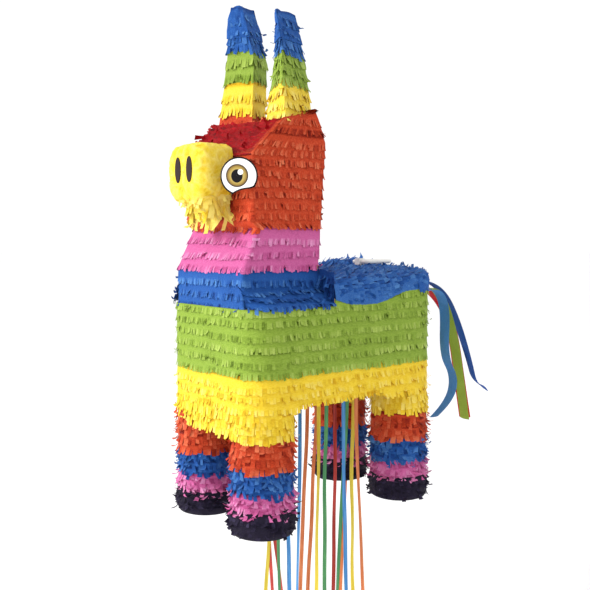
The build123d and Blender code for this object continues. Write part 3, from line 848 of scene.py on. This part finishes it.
def make_head():
    """Orange-red rows on the head and the crown, and the crimson forehead."""
    red = Sheets()
    top, low = HEAD_TOP, HEAD_TOP - 325
    surface, marks = head_surface(top, 370.0)
    look = Look(wild=0.06, curl=0.07, ragged=0.8)

    def clear(u, v):
        height = top - v
        return (np.abs(u) > 30) | (height > SNOUT_H[1]) | (height < SNOUT_H[0] - 2)

    cover(red, surface, (marks[1] - 1, marks[2] + 1), (4, low), look, 120, 11.6)
    cover(red, surface, (marks[2], marks[3]), (3, low), look, 121, 11.6, extra=1.0)
    cover(red, surface, (marks[3] - 1, marks[4] + 1), (8, low), look, 122, 11.6)
    look.low = 1.0
    front = (-marks[1] - 2, marks[1] + 2)
    cover(red, surface, front, (top - 410, low + 1), look, 123, 11.6, keep=clear)
    backing(red, surface, (0, marks[-1]), (5, low - 2), step=4.0)
    crown = crown_surface()
    cover(red, crown, (-HEAD_X, HEAD_X), (0, 50), look, 124, 11.0)
    backing(red, crown, (-HEAD_X, HEAD_X), (0, 46))
    # orange-red tabs round the foot of the right ear
    foot = Look(length=15.0, tab=3.4 * 300 / ear_girth(444.0), ragged=1.4, low=1.4, strip=(300, 301))
    fringe(red, ear_surface(-1, 458.0), (0, 300), 0.0, foot, np.random.default_rng(126))
    red.paper("head_tissue_red")

    crimson = Sheets()
    slope = forehead_surface()
    look = Look(
        length=18.0, tab=3.8, header=0.6, curl=0.03, spread=0.10, wild=0.05, wild_curl=0.8,
        lean=0.25, twist=0.5, crease=0.5, ragged=1.6, wander=1.4, drift=1.4, deep=0.2,
    )
    cover(crimson, slope, (-3, 57), (-1, 2 * HEAD_X + 3), look, 130, 9.0)
    backing(crimson, slope, (0, 57), (0, 2 * HEAD_X))
    crimson.paper("forehead_tissue_crimson")


BROW_LINE = ((-21.0, 406.0), (21.0, 445.0))
FAR_SWELL = 6.0  # how much fuller the crumpled forehead is at the right side
CROWN_LINE = ((21.0, 442.0), (70.0, 452.0))


def forehead_surface():
    """The slope up from the brow; u climbs it and v runs across it to the right side."""
    along, out = tilt(*BROW_LINE)
    base = BROW_LINE[0] - out * SKIN + along * 1.0

    def surface(u, v):
        swell = FAR_SWELL * np.clip(v / (2 * HEAD_X), 0, 1) ** 2
        spot = base + np.outer(u, along) + swell[:, None] * out
        places = np.column_stack([HEAD_X - v, spot])
        return places, np.tile([0.0, out[0], out[1]], (len(u), 1))

    return surface


def crown_surface():
    """The crown between the ears; v runs back over it."""
    along, out = tilt(*CROWN_LINE)

    def surface(u, v):
        spot = CROWN_LINE[0] + np.outer(v, along)
        return np.column_stack([u, spot]), np.tile([0.0, out[0], out[1]], (len(u), 1))

    return surface


# ---- back
HUMP_HEIGHT, HUMP_X, HUMP_WIDE = 10.0, -40.0, 15.0


def hump(x, d):
    """How much the crushed tissue stands off the back's card on the right of the loop."""
    along = np.clip((d - 150.0) / 35.0, 0, 1) * np.clip((256.0 - d) / 18.0, 0, 1)
    return HUMP_HEIGHT * np.exp(-(((x - HUMP_X) / HUMP_WIDE) ** 2)) * along


def back_surface(u, v):
    """The back's card: u runs across from the middle and down the sides, v to the rear."""
    arch_end, round_end, level = back_profile()
    away = np.abs(u)
    bent = arch_end / BACK_R + (away - arch_end) / BACK_ROUND
    angle = np.minimum(np.where(away < arch_end, away / BACK_R, bent), math.pi / 2)
    side, up = np.sin(angle), np.cos(angle)
    centre = BACK_HALF - BACK_ROUND
    x = np.where(away < arch_end, BACK_R * side, centre + BACK_ROUND * side)
    h = np.where(away < arch_end, BACK_CENTRE + BACK_R * up, level + BACK_ROUND * up)
    h = h - np.maximum(away - round_end, 0)
    past = np.maximum(v - WHEELBASE, 0)
    wide = np.maximum(x - LEG_X, 0)
    reach = np.hypot(wide, past)
    shrink = np.where(reach > LEG_R - 0.5, (LEG_R - 0.5) / np.maximum(reach, 1), 1.0)
    x = np.where(wide > 0, LEG_X + wide * shrink, x)
    d = np.where(past > 0, WHEELBASE + past * shrink, v)
    h = h + hump(np.sign(u) * x, d)
    out = np.column_stack([np.sign(u) * side, np.zeros(len(u)), up])
    return np.column_stack([np.sign(u) * x, d, h]), out


FLAP_X, FLAP_D = (-38.0, 14.0), (100.0, 152.0)  # the fill flap's edges
BACK_END = 246.0  # where the back's rows end at the rear


def make_back():
    """Blue tissue over the arched back and its fill flap, and down the gable at the rear."""
    look = Look(
        length=16.0, tab=3.4, header=0.40, curl=0.05, spread=0.16, wild=0.06, wild_curl=0.7,
        lean=0.12, twist=0.5, crease=0.4, ragged=1.3, wander=1.0, drift=1.0, strip=(50.0, 110.0),
    )
    back, flap = Sheets(), Sheets()
    low = back_profile()[1] + 15.0  # how far down the sides the rows may go before the wave
    left, right = (math.asin(x / BACK_R) * BACK_R for x in FLAP_X)

    def above(u, v):
        spot = back_surface(u, np.full(len(u), v))[0]
        return spot[:, 2] > wave_height(spot[:, 1]) + 1.0

    start = NECK_REAR + 1
    for ends, span, seed in (
        ((-low, left - 0.4), (start, BACK_END), 200),
        ((right + 0.4, low), (start, BACK_END), 201),
        ((left - 0.4, right + 0.4), (start, FLAP_D[0] - 0.2), 202),
        ((left - 0.4, right + 0.4), (FLAP_D[1] + 0.4, BACK_END), 203),
    ):
        cover(back, back_surface, ends, span, look, seed, 9.0, keep=above)
        inner = np.clip(ends, -low + 14, low - 14)
        backing(back, back_surface, inner, (span[0], span[1] - 1), step=4.0)
    ends = (left + 0.6, right - 0.6)
    cover(flap, back_surface, ends, (FLAP_D[0] + 0.6, FLAP_D[1] - 0.8), look, 204, 9.0)
    backing(flap, back_surface, ends, (FLAP_D[0] + 0.6, FLAP_D[1] - 0.6))
    make_binding(back)
    make_gable(back)
    back.paper("back_tissue_blue")
    flap.paper("fill_flap_tissue", colour="blue", body="fill_flap")


def make_binding(back):
    """Blue tissue pulled down over the wavy edges of the sides and the top of the rump."""
    rng = np.random.default_rng(210)
    _, round_end, level = back_profile()
    d = np.arange(75.0, 244.0, 2.0)
    for side in (-1, 1):
        edge = round_end + level - wave_height(d)
        rows = []
        for above, lift in ((-1.2, 2.6), (0.4, 3.1), (2.0, 2.7), (5.0, 2.0), (9.0, 1.6), (16.0, 1.2)):
            u = np.maximum(edge - above + rng.normal(0, 0.25, len(d)), 40)
            spot, out = back_surface(side * u, d)
            lifts = lift + rng.normal(0, 0.15 + 0.02 * above, len(d))
            past = np.clip((d - WHEELBASE) / LEG_R, 0, 1)
            out[:, 0] *= 1 - past
            out[:, 1] = past * np.abs(np.sign(out[:, 0]) + 0.01)
            rows.append(spot + unit(out) * lifts[:, None])
        # the paper pulled over the wavy edge is tinted lighter: a painted highlight along the fold
        back.grid(np.array(rows), tint=0.62)
    u = np.arange(SIDE_END - 4, RIGHT_START + 4, 2.0)
    spot, out = BODY.at(u)
    rows = []
    for offset, lift in ((3.0, -7.0), (3.2, -3.5), (2.6, -0.6), (0.8, 1.8), (-2.5, 2.4), (-7.0, 2.0)):
        place = spot + out * (offset + rng.normal(0, 0.2, len(u)))[:, None]
        height = back_height(place[:, 0]) + hump(place[:, 0], place[:, 1])
        rows.append(np.column_stack([place, height + lift + rng.normal(0, 0.25, len(u))]))
    back.grid(np.array(rows), tint=0.5)


GABLE_TOP = 292.0


def gable_limit(u):
    """The least v that tissue may reach on the gable: the back's own edge."""
    return GABLE_TOP - back_height(BODY.at(u)[0][:, 0]) - 1.0


def make_gable(back):
    """Blue tissue down the rear of the back, over the top of the green."""
    surface = wall(BODY, GABLE_TOP)
    look = Look(curl=0.12, spread=0.2, wild=0.08, twist=0.5, ragged=1.3)
    ends = (SIDE_END - 2, RIGHT_START + 2)
    cover(back, surface, ends, (-2, GABLE_TOP - 254), look, 220, 9.0, gable_limit)
    backing(back, surface, ends, (4, GABLE_TOP - 256), limit=gable_limit, lift=0.5)


# ---- snout
SNOUT_X, SNOUT_D, SNOUT_H = 33.6, (-63.0, -21.0), (354.0, 417.5)
SNOUT_MIDDLE = sum(SNOUT_H) / 2
SNOUT_ROUND, SNOUT_POWER = 13.0, 4.0  # its edges' radius, and how square its section is
FAR_BULGE = 2.0  # the crumpled paper's half width grows by this, and its middle moves right by it
NOSTRIL_X, NOSTRIL_H = 11.0, 389.0


def crinkle(points, scale, depth, shift=0.0):
    """Sharp creases like those of crushed crepe: ridged noise at some points."""
    move = Vector((shift, 3.0 + shift, 7.0))
    return np.array([-abs(noise.noise(Vector(p) * scale + move)) * depth for p in points])


def snout_rings():
    """Rings round the snout's square section, from the middle of its front back to the face."""
    angles = np.linspace(0, 2 * math.pi, 201)
    half_h = (SNOUT_H[1] - SNOUT_H[0]) / 2
    c, s = np.cos(angles), np.sin(angles)
    size = (np.abs(c) ** SNOUT_POWER + np.abs(s) ** SNOUT_POWER) ** (-1 / SNOUT_POWER)
    depths = np.concatenate([np.linspace(0, SNOUT_ROUND, 14), np.linspace(14.2, 41.5, 24)])
    grid = []
    for depth in depths:
        short = max(0.0, SNOUT_ROUND - depth)
        inset = SNOUT_ROUND - math.sqrt(SNOUT_ROUND**2 - short**2)
        across = (SNOUT_X + FAR_BULGE - inset) * size * c - FAR_BULGE
        up = SNOUT_MIDDLE + (half_h - inset) * size * s
        grid.append(np.column_stack([across, np.full(len(angles), SNOUT_D[0] + depth), up]))
    cap = grid[0]
    for shrink in np.linspace(0.93, 0.02, 14):
        ring = cap.copy()
        ring[:, 0] *= shrink
        ring[:, 2] = SNOUT_MIDDLE + (ring[:, 2] - SNOUT_MIDDLE) * shrink
        grid.insert(0, ring)
    return np.array(grid)


def make_snout():
    """Crinkled yellow crepe over the snout, with a ragged beard under it."""
    sheets = Sheets()
    grid = snout_rings()
    flat = grid.reshape(-1, 3)
    low = np.clip((378.0 - flat[:, 2]) / 24.0, 0, 1) ** 2  # one at the snout's foot, none higher up
    flat[:, 1] = np.maximum(flat[:, 1], SNOUT_D[0] + 4.0 * low)
    flat[:, 0] *= 1 - 0.05 * low
    out = unit(flat - np.array([0.0, -30.0, SNOUT_MIDDLE]))
    bumps = 1.0 + crinkle(flat, 0.08, 2.4) + crinkle(flat, 0.2, 1.5, 5.0) + crinkle(flat, 0.4, 0.7, 9)
    nose = (np.abs(np.abs(flat[:, 0]) - NOSTRIL_X) < 8) & (np.abs(flat[:, 2] - NOSTRIL_H) < 15)
    nose &= flat[:, 1] < SNOUT_D[0] + 3
    bumps = np.where(nose, -0.3, bumps)
    flat = flat + out * bumps[:, None]
    # the tint follows the crumples, darker where they dip in: painted shade in the creases
    sheets.grid(flat.reshape(grid.shape), tint=np.clip(0.62 + bumps * 0.22, 0.2, 0.8))
    make_beard(sheets)
    sheets.paper("snout_tissue_yellow", "crepe")


BEARD_ROWS = [  # top, half width, front, tab length, seed
    (364.0, 28.5, -57.5, 9.0, 305),
    (360.0, 27.0, -52.0, 10.0, 300),
    (355.0, 26.0, -48.0, 14.0, 301),
    (350.0, 25.0, -44.0, 16.0, 302),
    (344.0, 24.0, -40.0, 19.0, 303),
]


def make_beard(sheets):
    """Rows of crumpled tabs that hang from the snout's lower edges."""
    for top, half, front, length, seed in BEARD_ROWS:
        loop = rounded_box(half, front, 40.0, 11.0)
        reach = half + (SNOUT_D[1] - front) - 6
        look = Look(
            length=length, tab=4.6, header=0.2, curl=0.02, spread=0.18, wild=0.06, wild_curl=0.8,
            lean=0.25, twist=0.9, crease=0.7, ragged=2.0, wander=1.0, slope=0.0, deep=0.5,
        )
        rng = np.random.default_rng(seed)
        fringe(sheets, wall(loop, top), (-reach, reach), 0.0, look, rng, shade=0.7)


# ---- eyes
EYE_R, EYE_CENTRE = 19.5, (58.0, -32.5, 380.5)
EYE_CUT = ((-7.6, -18.9), (-3.0, -16.3), (2.0, -14.4), (7.0, -13.4), (12.0, -12.8), (16.4, -11.4))
BLACK_PRINT, WHITE_PRINT, IRIS_PRINT = range(3)
EYE_SPOTS = [  # centre, half width, half height, lift, print, and its tints from the middle out
    ((-2.0, 0.4), 11.6, 11.8, 1.14, IRIS_PRINT, [0.9, 0.9, 0.95, 1.0]),
    ((-2.0, 0.4), 10.4, 10.6, 1.18, IRIS_PRINT, [0.0, 0.1, 0.35, 0.8]),
    ((-2.2, 0.0), 5.9, 6.8, 1.24, BLACK_PRINT, None),
    ((1.5, 4.0), 2.9, 2.9, 1.30, WHITE_PRINT, None),
]


def flat_part(outline, depth):
    """A fan of quads from an outline's centre, for a flat printed shape."""
    centre = outline.mean(0)
    rings = [centre + (outline - centre) * k for k in (0.02, 0.35, 0.7, 1.0)]
    return [np.column_stack([ring, np.full(len(ring), depth)]) for ring in rings]


def eye_outline(grow):
    """The eye card's edge: round, with its lower edge cut off towards a point."""
    angles = np.radians(np.linspace(-22, 247, 64))
    radius = EYE_R + grow
    arc = np.column_stack([radius * np.cos(angles), radius * np.sin(angles)])
    inner = np.array(EYE_CUT) * (1 + grow / EYE_R * 1.3)
    return np.vstack([arc, inner, arc[:1]])


def round_outline(centre, rx, ry):
    """An ellipse as a closed outline."""
    angles = np.linspace(0, 2 * math.pi, 49)
    return np.column_stack([centre[0] + rx * np.cos(angles), centre[1] + ry * np.sin(angles)])


def iris_skin():
    """Olive gold iris that darkens towards its rim."""
    n = Nodes("eye_iris")
    stops = [(0.0, (206, 188, 120)), (0.45, (176, 148, 66)), (0.8, (122, 92, 34)), (1.0, (60, 42, 20))]
    return n.finish(n.ramp(n.tinted(n.noise(900.0, 2.0), 0.25), stops), 0.35)


def make_eyes():
    """Printed card eyes with a black edge, iris, pupil and highlight."""
    black = plastic("eye_black", (16, 14, 18), (30, 28, 32), 0.35)
    white = plastic("eye_white", (240, 240, 238), (250, 250, 248), 0.35)
    iris = iris_skin()
    for name, side in (("eye_left", 1), ("eye_right", -1)):
        sheets = Sheets()
        x, d, h = EYE_CENTRE
        right = np.array([side, 1.0, 0.0]) / math.sqrt(2)
        out = np.array([side, -1.0, 0.0]) / math.sqrt(2)

        def put(rings, mark, tints=None):
            shaped = np.array(rings) @ np.array([right, (0, 0, 1), out]) + (side * x, d, h)
            tone = 0.5 if tints is None else np.repeat(tints, shaped.shape[1])
            sheets.grid(shaped, tone, mark)

        edge = eye_outline(0.0)
        rim = flat_part(edge, 1.0)
        rim += [np.column_stack([edge * 0.995, np.full(len(edge), depth)]) for depth in (0.6, 0.0)]
        rim += flat_part(edge * 0.995, 0.0)[::-1]
        put(rim, BLACK_PRINT)
        put(flat_part(eye_outline(-1.6), 1.08), WHITE_PRINT)
        for centre, rx, ry, depth, mark, tints in EYE_SPOTS:
            put(flat_part(round_outline(centre, rx, ry), depth), mark, tints)
        piece = sheets.build(name + "_print", "donkey_body", [black, white, iris], [name])
        if side < 0:
            piece.data.flip_normals()


# ---- ears
EAR_SECTIONS = [  # left ear: height, then its inner, outer and rear corners
    (440.0, ((12.5, 37.0), (62.5, 26.0), (44.0, 79.0))),
    (510.0, ((18.5, 44.0), (52.0, 29.0), (35.0, 77.0))),
    (561.0, ((32.0, 38.0), (44.0, 29.0), (38.0, 60.0))),
]
EAR_BASE, EAR_TOP = 440.0, 561.0
EAR_STRETCH = {1: 1.0, -1: 1.17}  # the right ear is taller
EAR_FOOT = {1: (6.0, 0.0, 0.0), -1: (18.0, 5.5, 3.5)}  # how much higher each band ends
EAR_BANDS = (  # node, low edge, high edge, length of its strips
    ("ear_tissue_yellow", 436.0, 484.0, 20.0),
    ("ear_tissue_green", 481.0, 515.0, 17.0),
    ("ear_tissue_blue", 512.0, 561.0, 16.0),
)


def ear_corners(height):
    """An ear's three corners at some heights, as corner, axis, point."""
    heights = [h for h, _ in EAR_SECTIONS]
    corners = np.array([c for _, c in EAR_SECTIONS])
    return np.array([[np.interp(height, heights, corners[:, k, j]) for j in (0, 1)] for k in range(3)])


def ear_surface(side, top, inset=0.9):
    """A three-sided ear; u is 0 to 300, a hundred for each side, and v runs down."""

    def surface(u, v):
        height = top - v
        spots = ear_corners(height)
        u = np.mod(u, 300.0)
        leg = np.clip((u // 100).astype(int), 0, 2)
        t = u / 100.0 - leg
        index = np.arange(len(u))
        a = spots[leg, :, index]
        b = spots[(leg + 1) % 3, :, index]
        spot = a + (b - a) * t[:, None]
        edge = unit(b - a)
        out = np.column_stack([edge[:, 1], -edge[:, 0]])
        away = unit(spot - spots.mean(0).T)
        corner = np.clip(1 - np.minimum(t, 1 - t) / 0.12, 0, 1)[:, None]
        out = unit(out * (1 - 0.6 * corner) + away * 0.6 * corner)
        spot = spot - out * inset
        raised = EAR_BASE + (height - EAR_BASE) * EAR_STRETCH[side]
        places = np.column_stack([side * spot[:, 0], spot[:, 1], raised])
        return places, np.column_stack([side * out[:, 0], out[:, 1], np.full(len(u), 0.05)])

    return surface


def ear_girth(height):
    """Distance round an ear at a height."""
    spots = ear_corners(height)
    return sum(np.linalg.norm(spots[k] - spots[(k + 1) % 3]) for k in range(3))


def make_ears():
    """Blue, green and yellow rows on the two folded ears."""
    for band, (name, low, high, length) in enumerate(EAR_BANDS):
        sheets = Sheets()
        tip = name == "ear_tissue_blue"
        for number, side in enumerate((1, -1)):
            top = high if tip else high + 4
            surface = ear_surface(side, top)
            look = Look(
                length=length, tab=3.8 * 300 / ear_girth((low + high) / 2), header=0.42, curl=0.06,
                spread=0.14, wild=0.05, lean=0.25, twist=0.35, crease=0.3, ragged=1.4, wander=0.8,
                drift=0.8, strip=(300, 301), slope=0.05, low=0.3, deep=0.3,
            )
            if name == "ear_tissue_yellow":
                look.slope, look.curl, look.header, look.deep = 0.09, 0.08, 0.55, 0.2
            seed = 400 + 10 * band + number
            span = (0, top - low - EAR_FOOT[side][band])
            cover(sheets, surface, (0, 300), span, look, seed, 10.5, shade=0.58)
            backing(sheets, surface, (0, 300), (0, top - 2 - low), step=8.0)
            if tip:
                make_ear_tip(sheets, side)
        sheets.paper(name)


TIP_RINGS = [  # how far below the ear's top, and how wide against its section there
    (30.0, 1.05), (22.0, 1.08), (16.0, 1.09), (11.0, 1.07), (7.0, 1.02), (3.5, 0.94), (0.5, 0.82),
    (-1.6, 0.66), (-3.0, 0.44), (-3.6, 0.22), (-3.8, 0.03),
]
TIP_DROP = {1: 10.0, -1: 6.0}  # how much lower its rear corner is


def make_ear_tip(sheets, side):
    """Round the ear's top over with smooth crushed paper."""
    u = np.linspace(0, 300, 61)
    rows = []
    surface = ear_surface(side, EAR_TOP, inset=-0.6)
    for depth, share in TIP_RINGS:
        ring = surface(u, np.full(len(u), max(depth, 0.0)))[0]
        centre = ring.mean(0)
        ring[:, :2] = centre[:2] + (ring[:, :2] - centre[:2]) * share
        rearward = np.clip((ring[:, 1] - 36.0) / 20.0, 0, 1)
        drop = TIP_DROP[side] * rearward**1.4 * np.clip(1 - depth / 28.0, 0, 1)
        ring[:, 2] -= min(depth, 0.0) + drop
        if side == 1:  # the left ear's tip leans forward
            ring[:, 1] -= 5.0 * np.clip(1 - depth / 16.0, 0, 1) ** 2
        rows.append(ring)
    grid = np.array(rows)
    flat = grid.reshape(-1, 3)
    bumps = crinkle(flat, 0.13, 2.0, side * 4.0)
    centre = flat.mean(0)
    out = unit((flat - centre) * (1, 1, 0.3))
    flat = flat + out * bumps[:, None]
    # the tint follows the crumples, darker where they dip in: painted shade in the creases
    sheets.grid(flat.reshape(grid.shape), tint=0.55 + bumps * 0.2)


# ---- ribbons
RIBBON = 4.8
RIBBON_COLOURS = {
    "green": ((60, 128, 84), (96, 166, 104)),
    "yellow": ((206, 180, 40), (238, 216, 84)),
    "red": ((150, 40, 36), (196, 66, 56)),
    "blue": ((40, 112, 176), (92, 156, 212)),
    "orange": ((196, 100, 50), (228, 140, 92)),
}
ROUTES = {  # route of each ribbon: (x, behind front legs, above soles), belly to free end
    "release_ribbon": [
        (0, 63, 137.2), (0, 63, 82), (1, 64, 22), (1, 63, -42), (0, 66, -104), (0, 68, -150),
    ],
    "ribbon_yellow_front": [
        (15, 50, 140), (15, 50, 84), (13, 43, 24), (12, 41, -40), (10, 36, -102), (10, 34, -146),
    ],
    "ribbon_red_front": [
        (-13, 52, 140), (-13, 52, 82), (-12, 58, 20), (-13, 60, -44), (-12, 65, -108), (-12, 67, -156),
    ],
    "ribbon_blue_front": [
        (28, 50, 140), (28, 50, 86), (26, 55, 26), (25, 60, -38), (22, 63, -100), (22, 65, -144),
    ],
    "ribbon_orange_middle": [
        (-12, 120, 140), (-12, 120, 80), (-11, 114, 18), (-12, 112, -46), (-10, 107, -108),
        (-11, 106, -158),
    ],
    "ribbon_orange_far": [
        (-24, 146, 140), (-24, 146, 84), (-25, 140, 24), (-23, 137, -40), (-22, 130, -104),
        (-22, 128, -152),
    ],
    "ribbon_yellow_middle": [
        (9, 120, 140), (9, 120, 82), (11, 118, 20), (12, 114, -44), (13, 114, -106), (13, 112, -148),
    ],
    "ribbon_green_middle": [
        (3, 138, 140), (3, 138, 80), (1, 136, 18), (2, 137, -46), (4, 134, -108), (4, 135, -160),
    ],
    "ribbon_blue_near": [
        (28, 143, 140), (28, 143, 84), (30, 142, 22), (29, 146, -42), (30, 146, -104), (30, 149, -150),
    ],
    "ribbon_yellow_rear": [
        (9, 178, 140), (9, 178, 82), (7, 176, 20), (8, 179, -44), (7, 178, -106), (8, 181, -154),
    ],
    "ribbon_orange_rear": [
        (24, 168, 140), (24, 168, 84), (26, 170, 22), (25, 176, -42), (26, 178, -104), (25, 182, -148),
    ],
}
MORE_ROUTES = {  # ribbons with no solid of their own in the CAD
    "ribbon_red_far": [
        (-24, 56, 140), (-24, 56, 84), (-23, 66, 24), (-24, 76, -40), (-24, 86, -102), (-24, 93, -150),
    ],
    "ribbon_blue_far": [
        (-36, 128, 140), (-36, 128, 82), (-35, 127, 22), (-36, 126, -42), (-36, 124, -104),
        (-36, 123, -148),
    ],
    "ribbon_red_rear": [
        (-14, 167, 140), (-14, 167, 84), (-13, 168, 22), (-14, 166, -42), (-13, 166, -104),
        (-14, 165, -154),
    ],
    "ribbon_green_near": [
        (16, 161, 140), (16, 160, 84), (16, 154, 24), (17, 149, -40), (16, 146, -102), (16, 144, -150),
    ],
    "ribbon_orange_end": [
        (-26, 201, 140), (-26, 201, 82), (-25, 198, 22), (-26, 195, -42), (-26, 191, -104),
        (-26, 189, -150),
    ],
}


def smooth_line(route, name):
    """Points along the NURBS line whose control points are a route's."""
    curve = bpy.data.curves.new(name + "_line", "CURVE")
    curve.dimensions = "3D"
    curve.resolution_u = 10
    spline = curve.splines.new("NURBS")
    spots = to_row(route)
    spline.points.add(len(spots) - 1)
    for point, spot in zip(spline.points, spots):
        point.co = (*spot, 1.0)
    spline.order_u = 3
    spline.use_endpoint_u = True
    holder = bpy.data.objects.new(name + "_line", curve)
    mesh = bpy.data.meshes.new_from_object(holder)
    line = np.array([v.co for v in mesh.vertices], float)
    bpy.data.objects.remove(holder)
    bpy.data.curves.remove(curve)
    bpy.data.meshes.remove(mesh)
    return line


def band_mesh(name, line, across, normals, columns=3, tint=None):
    """A flat band that follows a line, with its width laid along across, both in metres."""
    offsets = np.linspace(-1, 1, columns)
    points = line[:, None, :] + across[:, None, :] * offsets[None, :, None]
    cup = (1 - offsets**2)[None, :, None] * normals[:, None, :]
    return mesh_piece(name, (points + cup).reshape(-1, 3), quads(len(line), columns), tint)


def make_ribbons():
    """Flat curling ribbons that hang from the belly."""
    skins = {c: ribbon_skin("ribbon_" + c, *pair) for c, pair in RIBBON_COLOURS.items()}
    rng = np.random.default_rng(500)
    for name, route in {**ROUTES, **MORE_ROUTES}.items():
        line = smooth_line(route, name)
        s = run(line)
        turn = 0.88 + rng.uniform(-0.5, 0.5) + rng.uniform(-0.8, 0.8) * s / s[-1]
        turn = turn + 0.3 * np.sin(s / s[-1] * rng.uniform(4, 9) + rng.uniform(0, 6))
        half = RIBBON / 2 * MM
        across = np.column_stack([np.cos(turn), np.sin(turn), np.zeros(len(s))]) * half
        normals = np.column_stack([-np.sin(turn), np.cos(turn), np.zeros(len(s))]) * 0.35 * MM
        piece = band_mesh(name + "_band", line, across, normals)
        colour = "green" if name == "release_ribbon" else name.split("_")[1]
        piece.data.materials.append(skins[colour])
        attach(piece, "release_ribbon" if name == "release_ribbon" else "donkey_body")
        if name in ROUTES:
            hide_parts(name)


# ---- tail
STREAMER = 17.0
TAIL_ROOT = (250.6, 250.0)
STREAMERS = {  # side position, how far it turns, then its side view from the root down
    "red": (4.0, -0.3, [(290, 258), (340, 238), (373, 195), (392, 110), (404, 60)]),
    "navy": (21.5, 0.5, [(285, 264), (329, 249), (362, 204), (391, 143), (402, 112), (426, 102)]),
    "green": (39.0, 0.1, [(280, 256), (308, 243), (334, 187), (350, 117), (360, 70)]),
    "blue": (56.5, 0.3, [(275, 256), (296, 230), (293, 165), (316, 134), (306, 103), (275, 87)]),
}


def crepe(name, dark, plain, light):
    """Crepe paper: fine crossways crinkles and a matte surface."""
    n = Nodes(name)
    colour = n.ramp(n.tinted(n.noise(120.0), 0.6), [(0.15, dark), (0.5, plain), (0.85, light)])
    lines = n.noise(900.0, 2.0, 0.6, n.place((1.0, 0.25, 0.25)))
    return n.finish(colour, 0.7, lines, 0.0008, 0.7, Specular_IOR_Level=0.12)


CREPE_COLOURS = {  # dark, plain and light
    "red": ((120, 8, 18), (186, 20, 36), (214, 50, 58)),
    "navy": ((10, 36, 92), (28, 72, 152), (66, 124, 200)),
    "green": ((96, 120, 30), (146, 170, 62), (180, 200, 96)),
    "blue": ((36, 84, 160), (74, 134, 206), (126, 176, 228)),
}


def make_tail():
    """Crepe streamers that curl down from the tab at the top of the rump."""
    rng = np.random.default_rng(600)
    for colour, (x, whole_turn, side_view) in STREAMERS.items():
        name, slot_name = "tail_streamer_" + colour, "crepe_" + colour
        line = smooth_line([(x, d, h) for d, h in (TAIL_ROOT, *side_view)], name)
        s = run(line)
        tangent = unit(np.gradient(line, axis=0))
        flat = np.tile([1.0, 0.0, 0.0], (len(line), 1))
        cross = unit(np.cross(tangent, flat))
        turn = (whole_turn * (s / s[-1]) ** 1.4)[:, None]
        across = flat * np.cos(turn) + cross * np.sin(turn)
        normals = np.cross(tangent, across) * 1.6 * MM * np.sin(s[:, None] * 90 + rng.uniform(0, 6))
        half = STREAMER / 2 * MM
        piece = band_mesh(name + "_crepe", line, across * half, normals, columns=9, tint=0.5)
        piece.data.materials.append(crepe(slot_name, *CREPE_COLOURS[colour]))
        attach(piece, "tail")
        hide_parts(name)


# ---- carried-over CAD nodes
def paint_cad():
    """Card, dowel and plastic finishes on the CAD nodes that stay in view."""
    white = plastic("white_plastic", (226, 226, 222), (244, 244, 240))
    finishes = {
        "hang_loop": white, "hanger_anchor": white, "hanger_crossbar": wood("dowel"),
        "nostrils": plastic("nostril_card", (34, 22, 22), (50, 34, 34), 0.5),
    }
    brown = card("card")
    for name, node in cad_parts.items():
        if not node.hide_render:
            node.data.materials.clear()
            node.data.materials.append(finishes.get(name, brown))


# ---- camera, light and floor
CAMERA = (754.6, -535.8, 317.9)  # where it stands, in the donkey's own millimetres
AZIMUTH, PITCH = math.radians(50.33), math.radians(3.99)
LENS, SENSOR, SEES = 50.6, 36.0, 60.0  # mm, mm and how many metres far
AIR = 1.06  # strength of the white surroundings
KEY_PLACE, KEY_TARGET, KEY_SIZE, KEY_POWER = (-0.9, -2.2, 0.9), (0.0, -0.1, 0.0), 1.0, 52.0
FLOOR_HALF, FLOOR_BELOW = 25.0, 0.172  # metres; it lies this far below the soles
FLOOR_TONES = ((248.73,) * 3, (249.89,) * 3)


def aim(thing, direction):
    """Turn a camera or a lamp to look along a direction."""
    thing.rotation_mode = "QUATERNION"
    thing.rotation_quaternion = direction.to_track_quat("-Z", "Y")


def make_studio():
    """Camera at the photo's angle, soft light, pale floor and white surroundings."""
    scene = bpy.context.scene
    camera = bpy.data.objects.new("camera", bpy.data.cameras.new("camera"))
    scene.collection.objects.link(camera)
    scene.camera = camera
    camera.location = to_row([CAMERA])[0]
    level = math.cos(PITCH)
    aim(camera, Vector((-math.sin(AZIMUTH) * level, math.cos(AZIMUTH) * level, -math.sin(PITCH))))
    camera.data.lens, camera.data.sensor_width, camera.data.clip_end = LENS, SENSOR, SEES

    scene.world = bpy.data.worlds.new("studio")
    scene.world.use_nodes = True
    background = scene.world.node_tree.nodes["Background"]
    background.inputs["Color"].default_value = (1, 1, 1, 1)
    background.inputs["Strength"].default_value = AIR

    key = bpy.data.lights.new("key", "AREA")
    key.size, key.energy = KEY_SIZE, KEY_POWER
    lamp = bpy.data.objects.new("key", key)
    scene.collection.objects.link(lamp)
    lamp.location = KEY_PLACE
    aim(lamp, Vector(KEY_TARGET) - Vector(KEY_PLACE))

    corners = [(x, y) for y in (-FLOOR_HALF, FLOOR_HALF) for x in (-FLOOR_HALF, FLOOR_HALF)]
    points = np.array([(*corner, SOLE_Z - FLOOR_BELOW) for corner in corners])
    floor = mesh_piece("floor", points, quads(2, 2))
    n = Nodes("floor")
    colour = n.ramp(n.noise(1.5, 2.0), [(0.3, FLOOR_TONES[0]), (0.7, FLOOR_TONES[1])])
    floor.data.materials.append(n.finish(colour, 0.9))
    scene.view_settings.view_transform = "Standard"


make_studio()
make_ribbons()
make_body()
make_legs()
make_neck()
make_head()
make_back()
make_snout()
make_eyes()
make_ears()
make_tail()
paint_cad()
